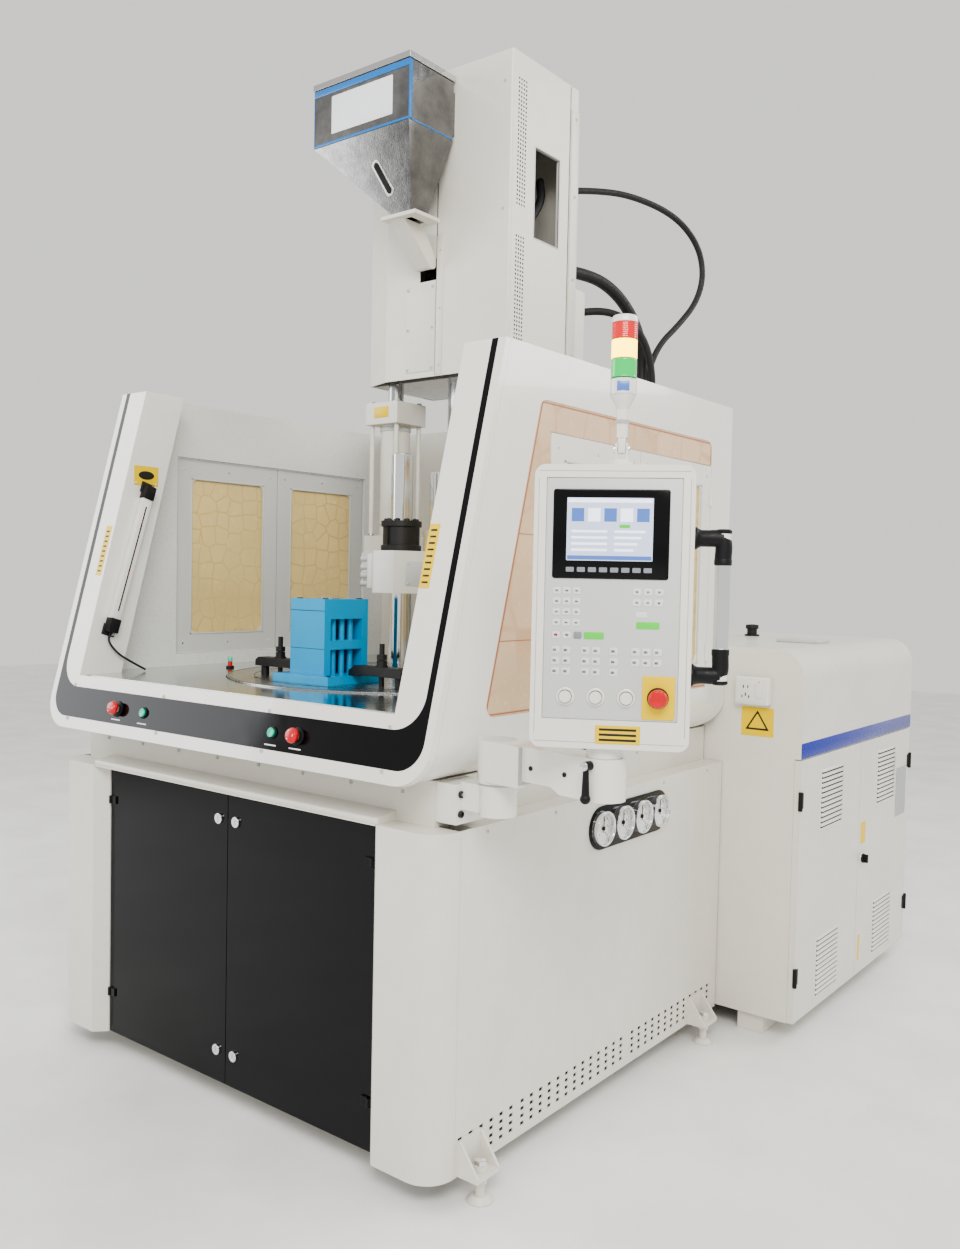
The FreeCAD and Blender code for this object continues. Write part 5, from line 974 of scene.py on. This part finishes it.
# ---------------------------------------------------------------- operator panel
def dress_panel():
    """Membrane, bezel, lit screen and keys, in the panel's own frame."""
    floor = -0.050
    p = Piece("panel_membrane", "panel", "grey_plastic", PANEL)
    p.slab(rectangle(-0.1335, 1.2225, 0.1495, 1.7315), "xz", floor - 0.0022, floor + 0.0002,
           "light_grey", 0.004, 0.0004)
    front = floor - 0.0022
    p.slab(rectangle(-0.119, 1.520, 0.124, 1.708), "xz", front - 0.0024, front + 0.0002, "black",
           0.006, 0.0008)
    glass = front - 0.0024
    p.slab(rectangle(-0.090, 1.558, 0.090, 1.690), "xz", glass - 0.0008, glass + 0.0002, "screen",
           0.002)
    lit = glass - 0.0008
    p.slab(rectangle(-0.088, 1.680, 0.088, 1.688), "xz", lit - 0.0003, lit, "screen_bar")
    p.slab(rectangle(-0.088, 1.560, 0.088, 1.5685), "xz", lit - 0.0003, lit, "screen_blue")
    for i in range(5):
        p.slab(rectangle(-0.080 + i * 0.034, 1.640, -0.054 + i * 0.034, 1.668), "xz",
               lit - 0.0003, lit, "screen_bar" if i % 2 else "screen_blue")
    for i in range(4):
        p.slab(rectangle(-0.080, 1.578 + i * 0.013, -0.005, 1.583 + i * 0.013), "xz",
               lit - 0.0003, lit, "screen_bar")
        p.slab(rectangle(0.010, 1.578 + i * 0.013, 0.05 + 0.008 * i, 1.583 + i * 0.013), "xz",
               lit - 0.0003, lit, "screen_bar")
    p.slab(rectangle(0.020, 1.627, 0.042, 1.634), "xz", lit - 0.0004, lit, "green")

    def key(x, z, wide, tall, finish="key"):
        p.slab(rectangle(x - wide / 2, z - tall / 2, x + wide / 2, z + tall / 2), "xz",
               front - 0.0010, front + 0.0001, finish, min(wide, tall) * 0.25, 0.0003)
    for i in range(8):
        p.slab(rectangle(-0.090 + i * 0.0232, 1.534, -0.073 + i * 0.0232, 1.544), "xz",
               glass - 0.0008, glass, "key_dark", 0.002)
    for row, column in product(range(4), range(3)):
        x, z = -0.108 + column * 0.021, 1.494 - row * 0.0225
        key(x, z, 0.017, 0.015)
        key(x, z, 0.007, 0.0045, "key_dark")
    for x, z in product((0.060, 0.083, 0.106), (1.494, 1.4715)):
        key(x, z, 0.018, 0.015)
        key(x, z, 0.006, 0.005, "key_dark")
    key(0.070, 1.446, 0.024, 0.012)
    key(0.084, 1.424, 0.048, 0.015, "green")
    for x in (-0.108, -0.085):
        key(x, 1.400, 0.017, 0.015)
        key(x, 1.400, 0.008, 0.006, "red" if x < -0.1 else "key_dark")
    key(-0.062, 1.400, 0.017, 0.015, "key_dark")
    key(-0.028, 1.400, 0.042, 0.015, "green")
    for x in (-0.108, -0.085, -0.045, -0.022, 0.015, 0.060, 0.083, 0.106):
        for row in range(3 if x < 0.02 else 2):
            z = 1.368 - row * 0.0225
            key(x, z, 0.018, 0.016)
            key(x - 0.002, z, 0.008, 0.006, "key_dark")
    for x in (-0.085, -0.021, 0.043):
        p.lathe((x, front, 1.27), FRONT, [(0.0195, -0.0002), (0.0195, 0.0022), (0.0175, 0.0034),
                (0.0145, 0.0034), (0.0145, 0.0)], "white_gloss", 32)
    p.slab(rectangle(0.076, 1.226, 0.144, 1.318), "xz", front - 0.0012, front + 0.0001, "yellow",
           0.004, 0.0004)
    p.lathe((0.109, front - 0.0012, 1.272), FRONT, [(0.0225, -0.0002), (0.0225, 0.0035),
            (0.0205, 0.005), (0.0125, 0.005), (0.0125, 0.0)], "black_plastic", 36)
    p.done()
    face = -0.054
    p = Piece("panel_case_trim", "panel", "white_paint", PANEL)
    p.slab(rectangle(-0.020, 1.172, 0.074, 1.211), "xz", face - 0.0008, face + 0.0002, "yellow",
           0.002)
    for i in range(3):
        p.slab(rectangle(-0.012, 1.178 + i * 0.011, 0.066, 1.183 + i * 0.011), "xz", face - 0.0011,
               face - 0.0007, "iron")
    groove = 0.0012
    for z in (1.174, 1.746):
        p.block((-0.150, face - 0.0004, z - groove / 2), (0.166, face + 0.0006, z + groove / 2),
                "grey", 0.0003)
    for x in (-0.150, 0.166):
        p.block((x - groove / 2, face - 0.0004, 1.19), (x + groove / 2, face + 0.0006, 1.73),
                "grey", 0.0003)
    back = 0.038
    p.screws((-0.145, 0.161), (back,), (1.18, 1.46, 1.74), BACK, 0.004, "chrome")
    for i in range(9):
        p.block((-0.06 + i * 0.016, back - 0.0006, 1.55), (-0.053 + i * 0.016, back + 0.0008, 1.68),
                "shadow", 0.0003)
    p.done()
    p = Piece("panel_handle", "panel", "black_plastic", PANEL)
    side, grip_x, y = 0.176, 0.238, -0.008
    for z, sign in ((1.320, 1), (1.610, -1)):
        p.lathe((side - 0.0005, y, z), RIGHT, [(0.024, 0), (0.024, 0.006), (0.0205, 0.010),
                (0.0178, 0.016), (0.0178, 0.062), (0, 0.062)], "black_plastic", 26)
        p.tube([(side + 0.03, y, z), (grip_x - 0.012, y, z), (grip_x, y, z + sign * 0.010),
                (grip_x, y, z + sign * 0.045)], 0.0178, "black_plastic", 20)
        p.lathe((grip_x, y, z + sign * 0.045), (0, 0, sign), [(0.0178, -0.002), (0.0186, 0),
                (0.0186, 0.010), (0.0162, 0.012), (0.0162, 0)], "black_plastic", 24)
        p.lathe((grip_x, y, z - sign * 0.0165), (0, 0, -sign), [(0.0168, -0.006), (0.0175, 0),
                (0.013, 0.003), (0, 0.0035)], "black_plastic", 24)
    p.lathe((grip_x, y, 1.366), UP, [(0.0163, 0), (0.0163, 0.198)], "chrome", 28)
    p.done()


def dress_lamp():
    """Stacked signal lamp: base, green, lit yellow, red and white cap on a folding stem."""
    p = Piece("signal_lamp_stack", "lamp", "white_plastic", PANEL)
    x, y = 0.020, -0.008
    r = 0.028

    def ring(z0, z1, finish, outer=r):
        h = z1 - z0
        p.lathe((x, y, z0), UP, [(0, 0), (outer - 0.0015, 0), (outer, 0.0015), (outer, h - 0.0015),
                                 (outer - 0.0015, h), (0, h)], finish, 40)

    def lens(z0, z1, finish):
        h = z1 - z0
        profile = [(0, 0), (r - 0.0012, 0)]
        count = 8
        for i in range(count):
            profile += [(r - 0.0002, h * (i + 0.3) / count), (r - 0.0009, h * (i + 0.9) / count)]
        p.lathe((x, y, z0), UP, profile + [(r - 0.0012, h), (0, h)], finish, 40)
    ring(1.910, 1.944, "white_gloss")
    for z0, z1, finish in ((1.946, 1.985, "lamp_green"), (1.987, 2.026, "lamp_yellow"),
                           (2.028, 2.062, "lamp_red")):
        lens(z0, z1, finish)
    for z in (1.944, 1.985, 2.026):
        ring(z, z + 0.002, "grey", r - 0.002)
    p.lathe((x, y, 2.062), UP, [(0, 0), (r, 0), (r, 0.010), (r - 0.003, 0.0145), (r - 0.008, 0.016),
                                (0, 0.016)], "white_gloss", 40)
    p.block((x - 0.013, y - r - 0.0004, 1.916), (x + 0.013, y - r + 0.008, 1.937), "screen_blue",
            0.002)
    p.lathe((x, y, 1.880), UP, [(0.012, 0), (0.014, 0.004), (0.024, 0.022), (r, 0.030), (0, 0.030)],
            "white_gloss", 36)
    p.lathe((x, y, 1.820), UP, [(0.012, 0), (0.012, 0.030), (0.0145, 0.031), (0.0145, 0.038),
                                (0.012, 0.039), (0.012, 0.062)], "white_gloss", 30)
    p.lathe((x, y, 1.851), UP, [(0.0148, 0), (0.0148, 0.007)], "grey", 30)
    p.block((x - 0.0086, y - 0.010, 1.787), (x + 0.0086, y + 0.010, 1.826), "white_gloss", 0.003)
    p.done("signal_lamp")
    p = Piece("lamp_joint", "panel", "white_plastic", PANEL)
    for sign in SIDES:
        p.lathe((x + 0.014 * sign, y, 1.796), (sign, 0, 0), [(0.0095, 0), (0.0095, 0.002),
                (0.008, 0.0035), (0.004, 0.0035), (0.004, 0.0015), (0, 0.0015)], "chrome", 22)
    for i in range(3):
        a = math.radians(90 + 120 * i)
        p.screw((x + 0.026 * math.cos(a), y + 0.026 * math.sin(a), 1.7655), UP, 0.0035, "chrome",
                0.002)
    p.done()


def dress_arm():
    p = Piece("bracket_bolts", "machine", "cast_iron")
    for y, z in product((-0.650, -0.570), (0.950, 0.998)):
        p.lathe((0.7958, y, z), RIGHT, [(0.0085, 0), (0.0085, 0.006), (0.0072, 0.0075),
                (0.0045, 0.0075), (0.0045, 0.003), (0, 0.003)], "iron", 18)
    p.lathe(ARM_PIVOT + UP * 1.031, UP, [(0.0462, -0.002), (0.0468, 0.0), (0.0468, 0.0025),
                                         (0.0462, 0.003)], "grey", 44)
    p.done()
    p = Piece("arm_caps", "arm", "white_paint")
    p.lathe(ARM_PIVOT + UP * 1.136, UP, [(0.044, -0.001), (0.044, 0.0), (0.042, 0.0018),
                                         (0.032, 0.0018), (0.031, 0.0006), (0, 0.0006)],
            "light_grey", 44)
    p.where = Matrix.Translation(ARM_PIVOT) @ ARM_TURN
    p.block((0.111, -0.0502, 1.048), (0.1125, 0.0502, 1.134), "grey", 0.0004)
    for x in (0.14, 0.24):
        p.screw((x, -0.040, 1.09), FRONT, 0.0055, "iron")
    p.done()
    p = Piece("lever_ball", "lever", "black_plastic",
              Matrix.Translation(PANEL_POST) @ ARM_TURN)
    p.lathe((0, -0.062, 1.040), UP, [(0, 0)] + [(0.0115 * math.sin(math.radians(a)),
            0.0115 - 0.0115 * math.cos(math.radians(a))) for a in range(18, 162, 18)]
            + [(0.0035, 0.0226)], "black_plastic", 24)
    p.lathe((0, -0.070, 1.122), FRONT, [(0.0102, -0.001), (0.0098, 0.001), (0.005, 0.0015),
                                             (0.005, 0.0005), (0, 0.0005)], "chrome", 24)
    p.done()


def dress_buttons():
    """Domed tops with an arrow ring for the emergency stops."""
    for side, x in FRONT_STOPS:
        name = "front_stop_" + side
        p = Piece(name + "_head", "stop_" + side, "red_plastic", SLOPE)
        p.lathe((x, -0.0131, BUTTON_Z), FRONT, [(0.0135, 0), (0.020, 0.0015), (0.0205, 0.005),
                (0.0195, 0.0105), (0.0165, 0.0142), (0.009, 0.0158), (0, 0.0162)], "red", 36)
        for i in range(3):
            a = math.radians(120 * i)
            mark = Vector((x + 0.012 * math.cos(a), -0.0286, BUTTON_Z + 0.012 * math.sin(a)))
            half = Vector((0.0028, 0.0006, 0.001))
            p.block(mark - half, mark + half, "paper", 0.0003,
                    Matrix.Rotation(-a + 1.57, 4, "Y"))
        p.done(name)
    p = Piece("panel_stop_head", "stop_panel", "red_plastic", PANEL)
    seat = (0.109, -0.0662, 1.272)
    p.lathe(seat, FRONT, [(0.0135, 0), (0.020, 0.0015), (0.0205, 0.005),
            (0.0195, 0.0105), (0.0165, 0.0138), (0.009, 0.0150), (0, 0.0153)], "red", 36)
    p.lathe(seat, BACK, [(0.0108, -0.001), (0.0108, 0.0066), (0, 0.0066)],
            "black_plastic", 24)
    p.done("panel_stop")
    for side, x in FRONT_STARTS:
        name = "front_start_" + side
        p = Piece(name + "_cap", "start_" + side, "white_plastic", SLOPE)
        p.lathe((x, 0.0, BUTTON_Z), FRONT, [(0.0098, -0.01), (0.0098, 0.0046), (0.0120, 0.0048),
                (0.0128, 0.0065), (0.0126, 0.0088), (0.0110, 0.0101), (0.006, 0.0094),
                (0, 0.0091)], "teal", 32)
        p.done(name)


make_camera()
make_cords()
make_studio()
dress_nodes()
dress_front()
dress_jambs()
dress_skirt()
window_door_trim("left_window_door_front", "left_window_front", -1)
window_door_trim("left_window_door_rear", "left_window_rear", -1)
window_door_trim("right_window_door_front", "right_window_front", 1)
window_door_trim("right_window_door_rear", "right_window_rear", 1)
pane_edges()
dress_table()
dress_clamp()
dress_tower()
dress_hopper()
dress_cabinet()
dress_gauges()
dress_panel()
dress_lamp()
dress_arm()
dress_buttons()
